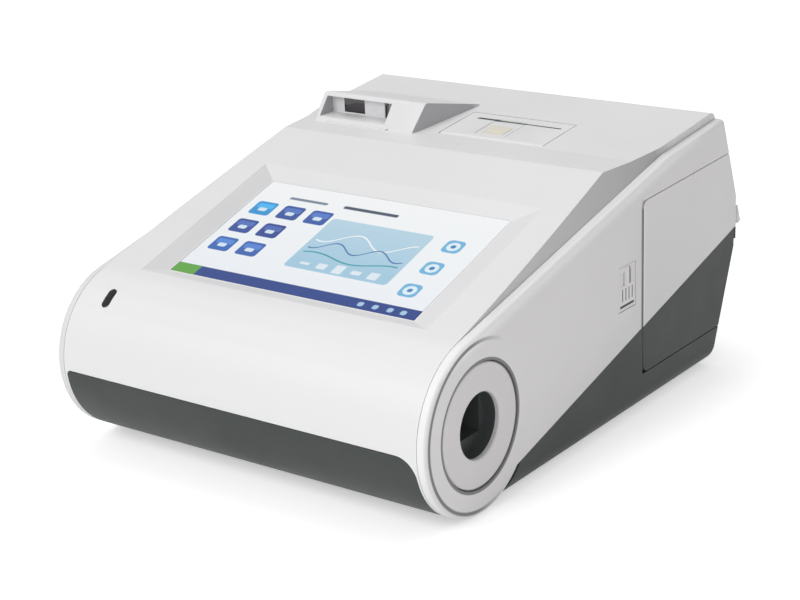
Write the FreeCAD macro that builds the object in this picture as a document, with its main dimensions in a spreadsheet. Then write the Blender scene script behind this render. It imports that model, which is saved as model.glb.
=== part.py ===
import FreeCAD, Part
import math
import os
import Sketcher

# A compact bench-top blood gas analyzer: a front roll with a test port in its right end,
# a sloped screen console, a printer and a scanner hood on the deck, and a pack door at the right.
# Millimetres, +X right as the user faces the screen, -Y front, +Z up.
# The origin is on the table, under the middle of the casing.

# Driving dimensions
SIZES = {
    # Casing outline, seen from the side
    "casing_width": 238.0,
    "casing_depth": 315.0,
    "casing_height": 153.0,
    "foot_height": 2.0,
    "roll_radius": 45.5,
    "face_angle": 17.2,
    "brow_y": 24.0,
    "brow_band": 24.0,
    "brow_band_rise": 0.7,
    "crest_y": 132.5,
    "crest_z": 147.204,
    "apex_z": 78.0,
    "heel_y": 124.0,
    "seam_angle": 14.6,
    "shell_lip": 3.0,
    "casing_wall": 2.5,
    "seam_gap": 0.3,
    "overrun": 6.0,
    # Side panels and their rail
    "panel_wall": 3.0,
    "rim_width": 5.0,
    "rim_depth": 4.5,
    "rail_angle": 13.0,
    "rail_tip_y": 72.0,
    "rail_end_drop": 4.4,
    "edge_round": 2.4,
    "ridge_inset": 7.0,
    "shoulder_y": 50.0,
    "shoulder_inset": 5.0,
    # Front band of the tub
    "band_drop": 2.0,
    "band_strip": 1.2,
    "band_round": 11.0,
    "band_left_round": 3.0,
    "tub_edge_round": 9.0,
    # Screen dish
    "screen_y": -67.0,
    "dish_side": 13.0,
    "dish_head": 11.0,
    "dish_foot": 8.0,
    "dish_seat": 0.8,
    "dish_depth": 3.0,
    "screen_width": 158.0,
    "screen_height": 91.0,
    "screen_shift_x": 1.0,
    "lcd_overlap": 4.0,
    "lcd_thickness": 4.5,
    "frame_sheet": 1.5,
    "frame_flange": 6.0,
    "frame_boss_radius": 2.6,
    "crest_round": 5.0,
    "status_x": -94.0,
    "status_turn_angle": 38.0,
    "status_width": 3.6,
    "status_length": 12.0,
    # Test port in the right end of the roll
    "port_ring_radius": 32.0,
    "port_ring_gap": 0.7,
    "port_bore_radius": 16.6,
    "port_ring_set_back": 0.4,
    "liner_wall": 2.0,
    "liner_flange": 4.0,
    "liner_length": 34.0,
    "channel_width": 25.0,
    "channel_rise": 10.0,
    "channel_drop": 9.0,
    "channel_step": 7.0,
    "module_length": 48.0,
    "module_depth": 46.0,
    "module_height": 44.0,
    "module_slot": 30.0,
    "module_slot_half": 4.0,
    "stand_half": 8.0,
    "stand_inset": 6.0,
    "heater_thickness": 4.0,
    # Chassis sheet and boards
    "chassis_z": 8.0,
    "chassis_sheet": 1.2,
    "chassis_half": 98.0,
    "chassis_front": 94.0,
    "chassis_back": 112.0,
    "boss_radius": 4.0,
    "boss_x": 88.0,
    "boss_back_y": 100.0,
    "boss_front_y": 52.0,
    "board_lift": 6.0,
    "board_sheet": 1.6,
    "main_board_width": 96.0,
    "main_board_depth": 84.0,
    "main_board_x": -46.0,
    "main_board_y": -12.0,
    "chip_height": 2.0,
    "chip_size": 18.0,
    "sink_height": 9.0,
    "power_board_width": 80.0,
    "power_board_depth": 56.0,
    "power_board_x": -52.0,
    "power_board_y": 74.0,
    "post_inset": 8.0,
    "fin_count": 5,
    "coil_radius": 9.0,
    "coil_height": 16.0,
    "post_radius": 2.5,
    # Battery
    "battery_width": 76.0,
    "battery_depth": 38.0,
    "battery_height": 20.0,
    "battery_x": -40.0,
    "battery_y": -88.0,
    "cover_inset": 4.0,
    # Pack bay and door at the right
    "door_front_y": 44.0,
    "door_foot_z": 22.0,
    "door_head_z": 118.0,
    "door_head_rise": 3.5,
    "door_gap": 0.6,
    "door_axis_inset": 6.0,
    "door_tail_gap": 0.8,
    "door_axis_depth": 1.5,
    "door_round": 5.0,
    "lug_foot_z": 69.0,
    "lug_height": 6.6,
    "knuckle_height": 9.6,
    "knuckle_gap": 0.6,
    "lower_door_inset": 1.9,
    "hinge_pin_radius": 0.7,
    "pin_clearance": 0.05,
    "bay_width": 52.0,
    "bay_depth": 74.0,
    "bay_front_y": 50.0,
    "bay_foot_z": 22.0,
    "bay_head_z": 110.0,
    "bay_wall": 1.6,
    "bay_mouth_gap": 0.6,
    "door_inner_sheet": 1.4,
    "door_inner_inset": 4.0,
    "bay_leg": 4.0,
    "pack_gap": 1.2,
    "pack_pull": 13.0,
    "pack_pull_depth": 8.0,
    "spout_radius": 4.0,
    "spout_length": 3.0,
    "spout_pitch": 22.0,
    "coupler_thickness": 8.0,
    "coupler_margin": 9.0,
    "nipple_radius": 2.0,
    "nipple_length": 4.0,
    # Door latch
    "latch_y": 27.0,
    "latch_z": 76.0,
    "latch_depth": 17.0,
    "latch_height": 24.0,
    "latch_gap": 0.4,
    "latch_flange": 2.0,
    "latch_groove": 1.6,
    "latch_groove_depth": 0.9,
    "latch_back": 0.3,
    "bracket_sheet": 1.5,
    "spring_radius": 3.5,
    "spring_wire": 0.8,
    "spring_length": 8.0,
    "spring_turn_count": 4,
    # Printer
    "printer_x": 18.0,
    "lid_width": 68.0,
    "lid_length": 33.8,
    "lid_front": 3.0,
    "lid_thickness": 2.0,
    "lid_gap": 0.5,
    "slot_gap": 1.3,
    "lid_pin_radius": 0.9,
    "lid_pin_reach": 3.0,
    "platen_radius": 4.0,
    "platen_length": 52.0,
    "platen_back": 3.5,
    "platen_depth": 6.5,
    "platen_axle_radius": 1.5,
    "cheek_thickness": 2.0,
    "cheek_height": 8.0,
    "gear_tooth_count": 14,
    "gear_module": 0.5,
    "gear_width": 3.0,
    "gear_backlash": 0.3,
    "tab_width": 20.0,
    "tab_length": 20.0,
    "tab_travel": 3.0,
    "tab_rise": 0.8,
    "tab_seat": 1.0,
    "tab_inset": 9.0,
    "tab_shift": 4.0,
    "head_thickness": 5.0,
    "head_gap": 0.6,
    "head_height": 7.0,
    "bucket_wall": 1.6,
    "bucket_flange": 5.5,
    "paper_room": 0.3,
    "paper_v": 15.0,
    "paper_drop": 24.0,
    "bucket_width": 72.0,
    "roll_paper_radius": 16.0,
    "roll_paper_width": 56.0,
    "roll_core_radius": 6.0,
    "motor_radius": 7.0,
    "motor_length": 16.0,
    "shaft_radius": 1.0,
    # Scanner hood on the deck
    "hood_left": 101.0,
    "hood_right_front": 29.5,
    "hood_right_back": 20.0,
    "hood_front_y": 43.0,
    "hood_top_y": 55.0,
    "hood_back_y": 98.0,
    "hood_back_lift": 0.8,
    "hood_wall": 2.2,
    "hood_round": 2.5,
    "bay_left": 97.0,
    "bay_right": 50.0,
    "bay_back_y": 58.0,
    "bay_floor_z": 140.2,
    "bay_slot": 9.0,
    "bay_slot_depth": 4.0,
    "bay_roof": 1.8,
    "window_left": 88.5,
    "window_right": 73.5,
    "window_foot_z": 140.9,
    "window_head_z": 149.6,
    "window_thickness": 1.5,
    "aim_left": 69.0,
    "aim_right": 64.0,
    "scan_engine_depth": 14.0,
    "scan_engine_gap": 0.4,
    "scan_engine_height": 11.0,
    "aim_z": 146.5,
    "aim_size": 5.0,
    # Fan and speaker at the left
    "fan_size": 40.0,
    "fan_thickness": 10.0,
    "fan_boss": 4.0,
    "fan_boss_radius": 2.6,
    "fan_seat": 2.0,
    "fan_pitch_angle": 35.0,
    "fan_y": 80.0,
    "fan_z": 82.0,
    "fan_bore_radius": 18.5,
    "fan_hub_radius": 8.0,
    "fan_tip_gap": 0.8,
    "fan_blade": 1.4,
    "fan_blade_count": 7,
    "fan_spoke": 2.0,
    "fan_hole_inset": 4.0,
    "fan_shaft_radius": 1.5,
    "vent_count": 6,
    "vent_width": 2.6,
    "vent_pitch": 5.8,
    "speaker_radius": 18.0,
    "speaker_depth": 8.0,
    "speaker_rim": 3.0,
    "magnet_radius": 9.0,
    "magnet_depth": 5.0,
    "speaker_y": -12.0,
    "speaker_z": 60.0,
    "grille_radius": 1.3,
    "grille_ring_count": 8,
    "grille_pitch": 5.0,
    # Pump
    "pump_x": 28.0,
    "pump_y": 12.0,
    "pump_z": 36.0,
    "pump_width": 38.0,
    "pump_thickness": 15.0,
    "pump_cavity_radius": 14.0,
    "pump_cavity_depth": 10.0,
    "pump_rotor_gap": 0.8,
    "pump_roller_radius": 3.0,
    "pump_roller_count": 3,
    "pump_motor_radius": 12.0,
    "pump_motor_length": 26.0,
    "pump_hub_radius": 9.0,
    "pump_rotor_width": 7.0,
    "pump_shaft_radius": 1.5,
    "pump_head": 19.0,
    "pump_nipple_x": 8.0,
    "tube_radius": 1.6,
    "tube_bend": 6.0,
    "tube_z": 68.0,
    "tube_high_z": 82.0,
    "tube_lane_x": 41.0,
    "module_port_z": 54.0,
    "tube_reach": 12.0,
    # Port plate at the back
    "plate_left": 68.0,
    "plate_right": 48.0,
    "plate_foot_z": 20.0,
    "plate_head_z": 58.0,
    "plate_y": 129.0,
    "plate_sheet": 1.5,
    "recess_wall": 3.0,
    "socket_depth": 12.0,
    "socket_proud": 1.0,
    "socket_fit": 0.2,
    "inlet_radius": 5.5,
    "inlet_x": -55.0,
    "inlet_pin_radius": 1.2,
    "inlet_size": 13.0,
    "switch_x": -32.0,
    "switch_width": 13.0,
    "switch_height": 19.0,
    "switch_wall": 1.5,
    "rocker_pin_radius": 1.0,
    "rocker_room": 1.0,
    "switch_rock_angle": 9.0,
    "rocker_gap": 0.4,
    "rocker_depth": 5.0,
    "usb_x": -7.0,
    "usb_width": 14.5,
    "usb_height": 15.0,
    "usb_slot_height": 5.0,
    "lan_x": 15.0,
    "lan_width": 16.0,
    "lan_height": 13.5,
    "serial_x": 36.0,
    "serial_width": 18.0,
    "serial_height": 12.0,
    "socket_wall": 1.2,
    "socket_throat": 8.0,
    "plate_screw_inset": 5.0,
    # Feet and screws
    "foot_radius": 8.0,
    "foot_front_y": -92.0,
    "foot_back_y": 104.0,
    "foot_x": 84.0,
    "screw_radius": 1.5,
    "screw_head_radius": 3.0,
    "screw_head_height": 2.0,
    "screw_fit": 0.15,
}

# Shares of the sizes that they follow
TOOTH_TIP_share = 1.0
TOOTH_ROOT_share = 1.25
TOOTH_FLANK_share = 0.30
TOOTH_SLIM_share = 0.4

doc = FreeCAD.newDocument("blood_gas_analyzer")
sheet = doc.addObject("Spreadsheet::Sheet", "Sizes")
for row, (alias, size) in enumerate(SIZES.items(), start=1):
    sheet.set(f"A{row}", alias)
    sheet.set(f"B{row}", str(size))
    sheet.setAlias(f"B{row}", alias)
doc.recompute()


class Dim:
    """A size that knows its value and the spreadsheet expression that gives it."""

    def __init__(self, value, text):
        self.value = float(value)
        self.text = text

    def __add__(self, other):
        other = dim(other)
        return Dim(self.value + other.value, f"({self.text} + {other.text})")

    def __sub__(self, other):
        other = dim(other)
        return Dim(self.value - other.value, f"({self.text} - {other.text})")

    def __mul__(self, other):
        other = dim(other)
        return Dim(self.value * other.value, f"({self.text} * {other.text})")

    def __truediv__(self, other):
        other = dim(other)
        return Dim(self.value / other.value, f"({self.text} / {other.text})")

    def __neg__(self):
        return Dim(-self.value, f"(0 - {self.text})")

    def __radd__(self, other):
        return dim(other) + self

    def __rsub__(self, other):
        return dim(other) - self

    def __rmul__(self, other):
        return dim(other) * self


def dim(value):
    """A plain number, or a size, as a size."""
    return value if isinstance(value, Dim) else Dim(value, repr(float(value)))


def size(alias):
    """The size with this alias in the sheet."""
    return Dim(float(sheet.get(alias)), f"Sizes.{alias}")


def sine(angle):
    return Dim(math.sin(math.radians(angle.value)), f"sin({angle.text} * 1 deg)")


def cosine(angle):
    return Dim(math.cos(math.radians(angle.value)), f"cos({angle.text} * 1 deg)")


def tangent(angle):
    return Dim(math.tan(math.radians(angle.value)), f"tan({angle.text} * 1 deg)")


def root(length):
    return Dim(math.sqrt(length.value), f"sqrt({length.text})")


class Frame:
    """A flat frame across X: its origin (y, z) and how far it leans back."""

    def __init__(self, y, z, angle):
        self.y = dim(y)
        self.z = dim(z)
        self.angle = dim(angle)

    def at(self, along, out):
        """The (y, z) of a place given along the slope and out of it."""
        lean = self.angle
        y = self.y + along * cosine(lean) - out * sine(lean)
        z = self.z + along * sine(lean) + out * cosine(lean)
        return y, z




def bind(thing, path, amount):
    thing.setExpression(path, dim(amount).text)


class Piece:
    """One sub-part: a body with its own name, built up from sketches and primitives."""

    def __init__(self, name):
        self.body = doc.addObject("PartDesign::Body", name)
        self.body.Label = name
        self.name = name
        self.count = 0

    def label(self, kind):
        self.count += 1
        return f"{self.name}_{kind}_{self.count}"

    def plane(self, role):
        return next(one for one in self.body.Origin.OriginFeatures if one.Role == role)

    def sketch(self, role, offset, frame=None):
        sketch = self.body.newObject("Sketcher::SketchObject", self.label("sketch"))
        sketch.AttachmentSupport = [(self.plane(role), "")]
        sketch.MapMode = "FlatFace"
        if frame is None:
            bind(sketch, ".AttachmentOffset.Base.z", offset)
            return sketch
        y, z = frame.at(dim(0), dim(offset))
        lean = FreeCAD.Rotation(FreeCAD.Vector(1, 0, 0), frame.angle.value)
        sketch.AttachmentOffset = FreeCAD.Placement(FreeCAD.Vector(0, y.value, z.value), lean)
        bind(sketch, ".AttachmentOffset.Base.y", y)
        bind(sketch, ".AttachmentOffset.Base.z", z)
        sketch.setExpression(".AttachmentOffset.Rotation.Angle", f"{frame.angle.text} * 1 deg")
        return sketch

    def place(self, sketch, kind, item, end, amount):
        """Ties one coordinate of one point of the sketch to its expression."""
        index = sketch.addConstraint(Sketcher.Constraint(kind, -1, 1, item, end, amount.value))
        bind(sketch, f"Constraints[{index}]", amount)

    def outline(self, sketch, points):
        points = [(dim(u), dim(v)) for u, v in points]
        corners = [FreeCAD.Vector(u.value, v.value, 0) for u, v in points]
        total = len(corners)
        for index in range(total):
            sketch.addGeometry(Part.LineSegment(corners[index], corners[(index + 1) % total]))
        for index in range(total):
            following = (index + 1) % total
            sketch.addConstraint(Sketcher.Constraint("Coincident", index, 2, following, 1))
        for index, (u, v) in enumerate(points):
            self.place(sketch, "DistanceX", index, 1, u)
            self.place(sketch, "DistanceY", index, 1, v)
        return sketch

    def circle(self, sketch, u, v, radius):
        u, v, radius = dim(u), dim(v), dim(radius)
        centre = FreeCAD.Vector(u.value, v.value, 0)
        item = sketch.addGeometry(Part.Circle(centre, FreeCAD.Vector(0, 0, 1), radius.value))
        index = sketch.addConstraint(Sketcher.Constraint("Radius", item, radius.value))
        bind(sketch, f"Constraints[{index}]", radius)
        self.place(sketch, "DistanceX", item, 3, u)
        self.place(sketch, "DistanceY", item, 3, v)
        return sketch

    def solid(self, kind, sketch, length):
        feature = self.body.newObject(f"PartDesign::{kind}", self.label(kind.lower()))
        feature.Profile = sketch
        bind(feature, "Length", length)
        return feature

    def run(self, role, low, high):
        """Where a sketch starts so that its solid runs from low to high along the axis."""
        if role == "XZ_Plane":
            return -dim(high), dim(high) - dim(low)
        return dim(low), dim(high) - dim(low)

    def add(self, role, low, high, points, frame=None):
        """Adds the outline, from low to high along the axis that the plane faces."""
        start, length = self.run(role, low, high)
        return self.solid("Pad", self.outline(self.sketch(role, start, frame), points), length)

    def cut(self, role, low, high, points, frame=None):
        """Cuts the outline away, from low to high along the axis that the plane faces."""
        start, length = self.run(role, low, high)
        before = self.volume()
        sketch = self.outline(self.sketch(role, start, frame), points)
        feature = self.solid("Pocket", sketch, length)
        feature.Reversed = True
        self.settle(feature, before)
        return feature

    def add_disc(self, role, low, high, u, v, radius, frame=None):
        start, length = self.run(role, low, high)
        return self.solid("Pad", self.circle(self.sketch(role, start, frame), u, v, radius), length)

    def cut_disc(self, role, low, high, u, v, radius, frame=None):
        start, length = self.run(role, low, high)
        before = self.volume()
        sketch = self.circle(self.sketch(role, start, frame), u, v, radius)
        feature = self.solid("Pocket", sketch, length)
        feature.Reversed = True
        self.settle(feature, before)
        return feature

    def volume(self):
        doc.recompute()
        return self.body.Shape.Volume

    def settle(self, feature, before):
        """Stops the build when a cut took nothing away."""
        doc.recompute()
        if not feature.Shape.Volume < before:
            raise ValueError(f"{feature.Name} cuts nothing")

    def box(self, x, y, z, frame=None):
        """Adds a box given by its low and high X, Y and Z (along and out of a frame)."""
        if frame is None:
            corners = [(x[0], y[0]), (x[1], y[0]), (x[1], y[1]), (x[0], y[1])]
            return self.add("XY_Plane", z[0], z[1], corners)
        corners = [(x[0], y[0]), (x[1], y[0]), (x[1], y[1]), (x[0], y[1])]
        return self.add("XY_Plane", z[0], z[1], corners, frame)

    def cut_box(self, x, y, z, frame=None):
        corners = [(x[0], y[0]), (x[1], y[0]), (x[1], y[1]), (x[0], y[1])]
        return self.cut("XY_Plane", z[0], z[1], corners, frame)

    def loft(self, kind, sketches):
        """A ruled loft through sketches, added or taken away."""
        feature = self.body.newObject(f"PartDesign::{kind}", self.label(kind.lower()))
        feature.Profile = sketches[0]
        feature.Sections = sketches[1:]
        feature.Ruled = True
        return feature

    def across(self, y, points):
        """An upright sketch that faces along Y."""
        return self.outline(self.sketch("XZ_Plane", -dim(y)), points)

    def flat(self, out, points, frame):
        """A sketch that lies in a leaning frame, a little out of it."""
        return self.outline(self.sketch("XY_Plane", out, frame), points)

    def round(self, radius, wanted, kind="Fillet"):
        """Rounds the edges for which wanted(edge) is true."""
        doc.recompute()
        base = self.body.Tip
        names = [f"Edge{i + 1}" for i, edge in enumerate(base.Shape.Edges) if wanted(edge)]
        if not names:
            raise ValueError(f"{self.name}: no edge to round")
        feature = self.body.newObject(f"PartDesign::{kind}", self.label(kind.lower()))
        feature.Base = (base, names)
        bind(feature, "Radius" if kind == "Fillet" else "Size", radius)
        return feature


NEAR = size("seam_gap").value / 20


def near(value, amount):
    return abs(value - dim(amount).value) < NEAR


def along(edge, axis):
    """Whether a straight edge runs along the X, Y or Z axis (0, 1, 2)."""
    if not isinstance(edge.Curve, Part.Line):
        return False
    direction = edge.tangentAt(edge.FirstParameter)
    return abs(abs(direction[axis]) - 1) < NEAR


def rectangle(u0, u1, v0, v1):
    return [(u0, v0), (u1, v0), (u1, v1), (u0, v1)]


# The casing outline that every shell follows
half = size("casing_width") / 2
back = size("casing_depth") / 2
wall = size("casing_wall")
gap = size("seam_gap")
over = size("overrun")
foot = size("foot_height")
roll_radius = size("roll_radius")
roll_y = roll_radius - back
roll_z = foot + roll_radius
face_angle = size("face_angle")
face = Frame(roll_y - roll_radius * sine(face_angle), roll_z + roll_radius * cosine(face_angle), face_angle)
brow = (size("brow_y"), face.z + (size("brow_y") - face.y) * tangent(face_angle))
deck_start = (brow[0] + size("brow_band"), brow[1] + size("brow_band_rise"))
crest = (size("crest_y"), size("crest_z"))
apex = (back, size("apex_z"))
heel = (size("heel_y"), foot)


def angle_of(rise, run):
    """The angle of a slope, in degrees."""
    value = math.degrees(math.atan2(rise.value, run.value))
    return Dim(value, f"(atan({rise.text} / {run.text}) / 1 deg)")


deck_angle = angle_of(crest[1] - deck_start[1], crest[0] - deck_start[0])
deck = Frame(deck_start[0], deck_start[1], deck_angle)
back_angle = angle_of(apex[0] - crest[0], crest[1] - apex[1])
seam_slope = tangent(size("seam_angle"))
lip = size("shell_lip")
tub_top = (apex[0] - lip, apex[1] - lip * seam_slope)
under_angle = angle_of(tub_top[0] - heel[0], tub_top[1] - heel[1])
rail_angle = size("rail_angle")
rail_start = (roll_y - roll_radius * sine(rail_angle), roll_z + roll_radius * cosine(rail_angle))


def face_z(y):
    return face.z + (y - face.y) * tangent(face_angle)


def deck_z(y):
    return deck.z + (y - deck.y) * tangent(deck_angle)


def back_y(z):
    """Where the upper back wall lies at a height above the apex."""
    return apex[0] - (z - apex[1]) * tangent(back_angle)


def under_y(z):
    """Where the lower back wall lies at a height below the seam."""
    return tub_top[0] - (tub_top[1] - z) * tangent(under_angle)


def under_z(y):
    """The height at which the lower back wall reaches a depth."""
    return tub_top[1] - (tub_top[0] - y) / tangent(under_angle)


def seam_z(y):
    return apex[1] - (apex[0] - y) * seam_slope


def rail_z(y):
    return rail_start[1] + (y - rail_start[0]) * tangent(rail_angle)


rail_tip = (size("rail_tip_y"), rail_z(size("rail_tip_y")))
rail_end_z = crest[1] - size("rail_end_drop")
rail_end = (back_y(rail_end_z), rail_end_z)
rim_x = half - size("rim_width")
plate_x = half - size("panel_wall")
shell_x = rim_x - gap
rim_low = size("rim_depth") + gap
face_drop = wall / cosine(face_angle)
deck_drop = wall / cosine(deck_angle)
back_shift = wall / cosine(back_angle)
under_shift = wall / cosine(under_angle)
ridge_x = shell_x - size("ridge_inset")
shoulder = (size("shoulder_y"), shell_x - size("shoulder_inset"))
ring_outer = size("port_ring_radius")


def both_sides(action):
    """Does the same at the right and, mirrored, at the left."""
    for side in (1, -1):
        action(side)


def span(side, near_x, far_x):
    """Low and high X of a stretch that lies at the given side."""
    return (near_x, far_x) if side == 1 else (-far_x, -near_x)


# Upper housing: roll, sloped face, brow band, deck and upper back wall
upper = Piece("upper_housing")
outer = [(roll_y, roll_z), (face.y, face.z), brow, deck_start, crest, apex]
upper.add("YZ_Plane", -shell_x, shell_x, outer)
upper.add_disc("YZ_Plane", -shell_x, shell_x, roll_y, roll_z, roll_radius)

cavity_head = [
    (roll_y, face_z(roll_y) - face_drop),
    (brow[0], brow[1] - face_drop),
    (deck_start[0], deck_start[1] - deck_drop),
    (crest[0] - wall, deck_z(crest[0] - wall) - deck_drop),
    (apex[0] - back_shift, apex[1]),
    (apex[0] - back_shift, foot),
    (roll_y, foot),
]
inner_x = ridge_x - wall
upper.cut("YZ_Plane", -inner_x, inner_x, cavity_head)
upper.cut_disc("YZ_Plane", -half, half, roll_y, roll_z, roll_radius - wall)
ledge = rim_low + wall
side_cavity = [
    (roll_y, rail_z(roll_y) - ledge),
    (rail_tip[0], rail_tip[1] - ledge),
    (rail_end[0] - back_shift - ledge, rail_end[1] - ledge),
    (apex[0] - back_shift, apex[1]),
    (apex[0] - back_shift, foot),
    (roll_y, foot),
]
upper.cut("YZ_Plane", -half, half, side_cavity)

# The band window leaves a thin strip of roll beside each side panel
band_x = shell_x - size("band_strip")
band_z = roll_z - size("band_drop")
upper.cut_box((-band_x, band_x), (-back - over, roll_y), (foot - over, band_z))
upper.round(
    size("band_round"),
    lambda edge: along(edge, 1) and near(edge.CenterOfMass.x, band_x) and near(edge.CenterOfMass.z, band_z),
)
upper.round(
    size("band_left_round"),
    lambda edge: along(edge, 1) and near(edge.CenterOfMass.x, -band_x) and near(edge.CenterOfMass.z, band_z),
)


def facet_section(side, y, top_x, top_z):
    """The wedge beside the console at one Y: from the rail foot up to the ridge and beyond."""
    foot_z = rail_z(y)
    stretch = over / size("rim_width")
    lean_x = (dim(top_x) - shell_x) * stretch
    points = [
        (shell_x, foot_z),
        (dim(top_x) + lean_x, dim(top_z) + over + over),
        (half + over, dim(top_z) + over + over),
        (half + over, foot_z),
    ]
    return upper.across(y, [(side * x, z) for x, z in points])


def cut_facet(side):
    sections = [
        facet_section(side, rail_start[0], shell_x, rail_start[1] + gap),
        facet_section(side, brow[0], ridge_x, brow[1]),
        facet_section(side, shoulder[0], shoulder[1], deck_z(shoulder[0])),
        facet_section(side, rail_tip[0], shell_x, deck_z(rail_tip[0])),
    ]
    upper.loft("SubtractiveLoft", sections)


both_sides(cut_facet)

# Screen dish: a seat slab under the face, then the sloped dish and the screen window in it
screen_x = size("screen_shift_x")
screen_v = (size("screen_y") - face.y) / cosine(face_angle)
screen_half_w = size("screen_width") / 2
screen_half_h = size("screen_height") / 2
dish_depth = size("dish_depth")
dish_seat = size("dish_seat")


def around_screen(side, head, low):
    """A rectangle about the screen, that much larger at the sides, head and foot."""
    return (
        (screen_x - screen_half_w - side, screen_x + screen_half_w + side),
        (screen_v - screen_half_h - low, screen_v + screen_half_h + head),
    )


slab_x, slab_v = around_screen(size("dish_side"), size("dish_head"), size("dish_foot"))
slab_under = -dish_depth - wall
upper.box(slab_x, slab_v, (slab_under, -wall / 2), face)
rim_xs, rim_vs = around_screen(size("dish_side"), size("dish_head"), size("dish_foot"))
seat_xs, seat_vs = around_screen(dish_seat, dish_seat, dish_seat)
lean_out = over / dish_depth
dish_low = upper.flat(-dish_depth, rectangle(*seat_xs, *seat_vs), face)
dish_high_x = (
    rim_xs[0] - (seat_xs[0] - rim_xs[0]) * lean_out, rim_xs[1] + (rim_xs[1] - seat_xs[1]) * lean_out
)
dish_high_v = (
    rim_vs[0] - (seat_vs[0] - rim_vs[0]) * lean_out, rim_vs[1] + (rim_vs[1] - seat_vs[1]) * lean_out
)
dish_high = upper.flat(over, rectangle(*dish_high_x, *dish_high_v), face)
upper.loft("SubtractiveLoft", [dish_low, dish_high])
window_xs, window_vs = around_screen(dim(0), dim(0), dim(0))
upper.cut_box(window_xs, window_vs, (slab_under - over, over), face)

# Bosses under the dish that carry the display frame
lcd_lap = size("lcd_overlap")
lcd_top = slab_under
lcd_bottom = lcd_top - size("lcd_thickness")
frame_boss = size("frame_boss_radius")
frame_flange = size("frame_flange")
boss_xs, boss_vs = around_screen(lcd_lap + frame_flange / 2 + gap, lcd_lap - frame_boss, lcd_lap - frame_boss)
for boss_place_x in boss_xs:
    for boss_place_v in boss_vs:
        upper.add_disc("XY_Plane", lcd_bottom, lcd_top, boss_place_x, boss_place_v, frame_boss, face)

# Status slot, up the left of the roll
status_turn = size("status_turn_angle")
status = Frame(
    roll_y - roll_radius * sine(status_turn), roll_z + roll_radius * cosine(status_turn), status_turn
)
status_xs = (size("status_x") - size("status_width") / 2, size("status_x") + size("status_width") / 2)
status_vs = (-size("status_length") / 2, size("status_length") / 2)
upper.cut_box(status_xs, status_vs, (-wall - over, over), status)

# Printer opening in the deck, with bosses for the ends of the lid's pin
printer_x = size("printer_x")
lid_half = size("lid_width") / 2
knuckle = size("lid_thickness")
lid_front = size("lid_front") + knuckle
lid_back = lid_front + size("lid_length")
lid_gap = size("lid_gap")
lid_axis = -knuckle
opening_back = lid_back + size("slot_gap")
opening_x = (printer_x - lid_half - lid_gap, printer_x + lid_half + lid_gap)
pin_radius = size("lid_pin_radius")
pin_reach = size("lid_pin_reach")
ear_drop = knuckle + knuckle
for ear in (opening_x[0] - pin_reach - wall, opening_x[1] - wall):
    ear_x = (ear, ear + pin_reach + wall + wall)
    upper.box(
        ear_x, (lid_front - knuckle - knuckle, lid_front + knuckle + knuckle), (-ear_drop, -wall / 2), deck
    )
upper.cut_box(opening_x, (lid_front - knuckle - lid_gap, opening_back), (-ear_drop - over, over), deck)
hole_y, hole_z = deck.at(lid_front, lid_axis)
upper.cut_disc(
    "YZ_Plane",
    opening_x[0] - pin_reach,
    opening_x[1] + pin_reach,
    hole_y,
    hole_z,
    pin_radius + size("pin_clearance"),
)

# Opening under the scanner hood
engine_gap = size("scan_engine_gap")
bay_end = size("bay_back_y")
scan_x = (-size("bay_left") + size("hood_wall"), -size("bay_right") - size("bay_slot") - size("hood_wall"))
scan_y = (bay_end + size("hood_wall"), bay_end + size("hood_wall") + size("scan_engine_depth"))
upper.cut_box(scan_x, scan_y, (deck_start[1] - over, crest[1] + over))

# Soft outer edges: the crest and the brow
upper.round(
    size("crest_round"),
    lambda edge: along(edge, 0) and near(edge.CenterOfMass.y, crest[0]) and near(edge.CenterOfMass.z, crest[1]),
)

# Lower housing: a dark tub with the lower front of the roll
lower = Piece("lower_housing")
tub = [(roll_y, foot), heel, tub_top, (roll_y, seam_z(roll_y))]
lower.add("YZ_Plane", -half, half, tub)
lower.round(
    size("tub_edge_round"),
    lambda edge: along(edge, 1) and near(abs(edge.CenterOfMass.x), half) and near(edge.CenterOfMass.z, foot),
)
floor_z = foot + wall
tub_step = size("tub_edge_round") - wall - wall


def tub_hollow(floor):
    """The hollow of the tub above a floor height."""
    return [
        (roll_y - over, floor),
        (under_y(floor) - under_shift, floor),
        (tub_top[0] - under_shift, tub_top[1]),
        (tub_top[0] - under_shift, apex[1] + over),
        (roll_y - over, apex[1] + over),
    ]


lower.cut("YZ_Plane", -plate_x + tub_step, plate_x - tub_step, tub_hollow(floor_z))
lower.cut("YZ_Plane", -plate_x, plate_x, tub_hollow(floor_z + tub_step))
band_fit = band_x - gap
lower.add_disc("YZ_Plane", -band_fit, band_fit, roll_y, roll_z, roll_radius)
lower.cut_disc("YZ_Plane", -half, half, roll_y, roll_z, roll_radius - wall)
lower.cut_box((-half, half), (-back - over, roll_y + over), (band_z - gap, roll_z + roll_radius + over))
lower.cut_box(
    (-band_fit, band_fit), (roll_y, roll_y + roll_radius + gap), (floor_z, roll_z + roll_radius + over)
)
lower.round(
    size("band_round"),
    lambda edge: along(edge, 1)
    and near(edge.CenterOfMass.x, band_fit)
    and near(edge.CenterOfMass.z, band_z - gap),
)
lower.round(
    size("band_left_round"),
    lambda edge: along(edge, 1)
    and near(edge.CenterOfMass.x, -band_fit)
    and near(edge.CenterOfMass.z, band_z - gap),
)


def clear_disc(side):
    """Room in the tub's side wall for the round end of the side panel."""
    low, high = span(side, shell_x, half)
    lower.cut_disc("YZ_Plane", low, high, roll_y, roll_z, roll_radius + gap)


both_sides(clear_disc)

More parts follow.
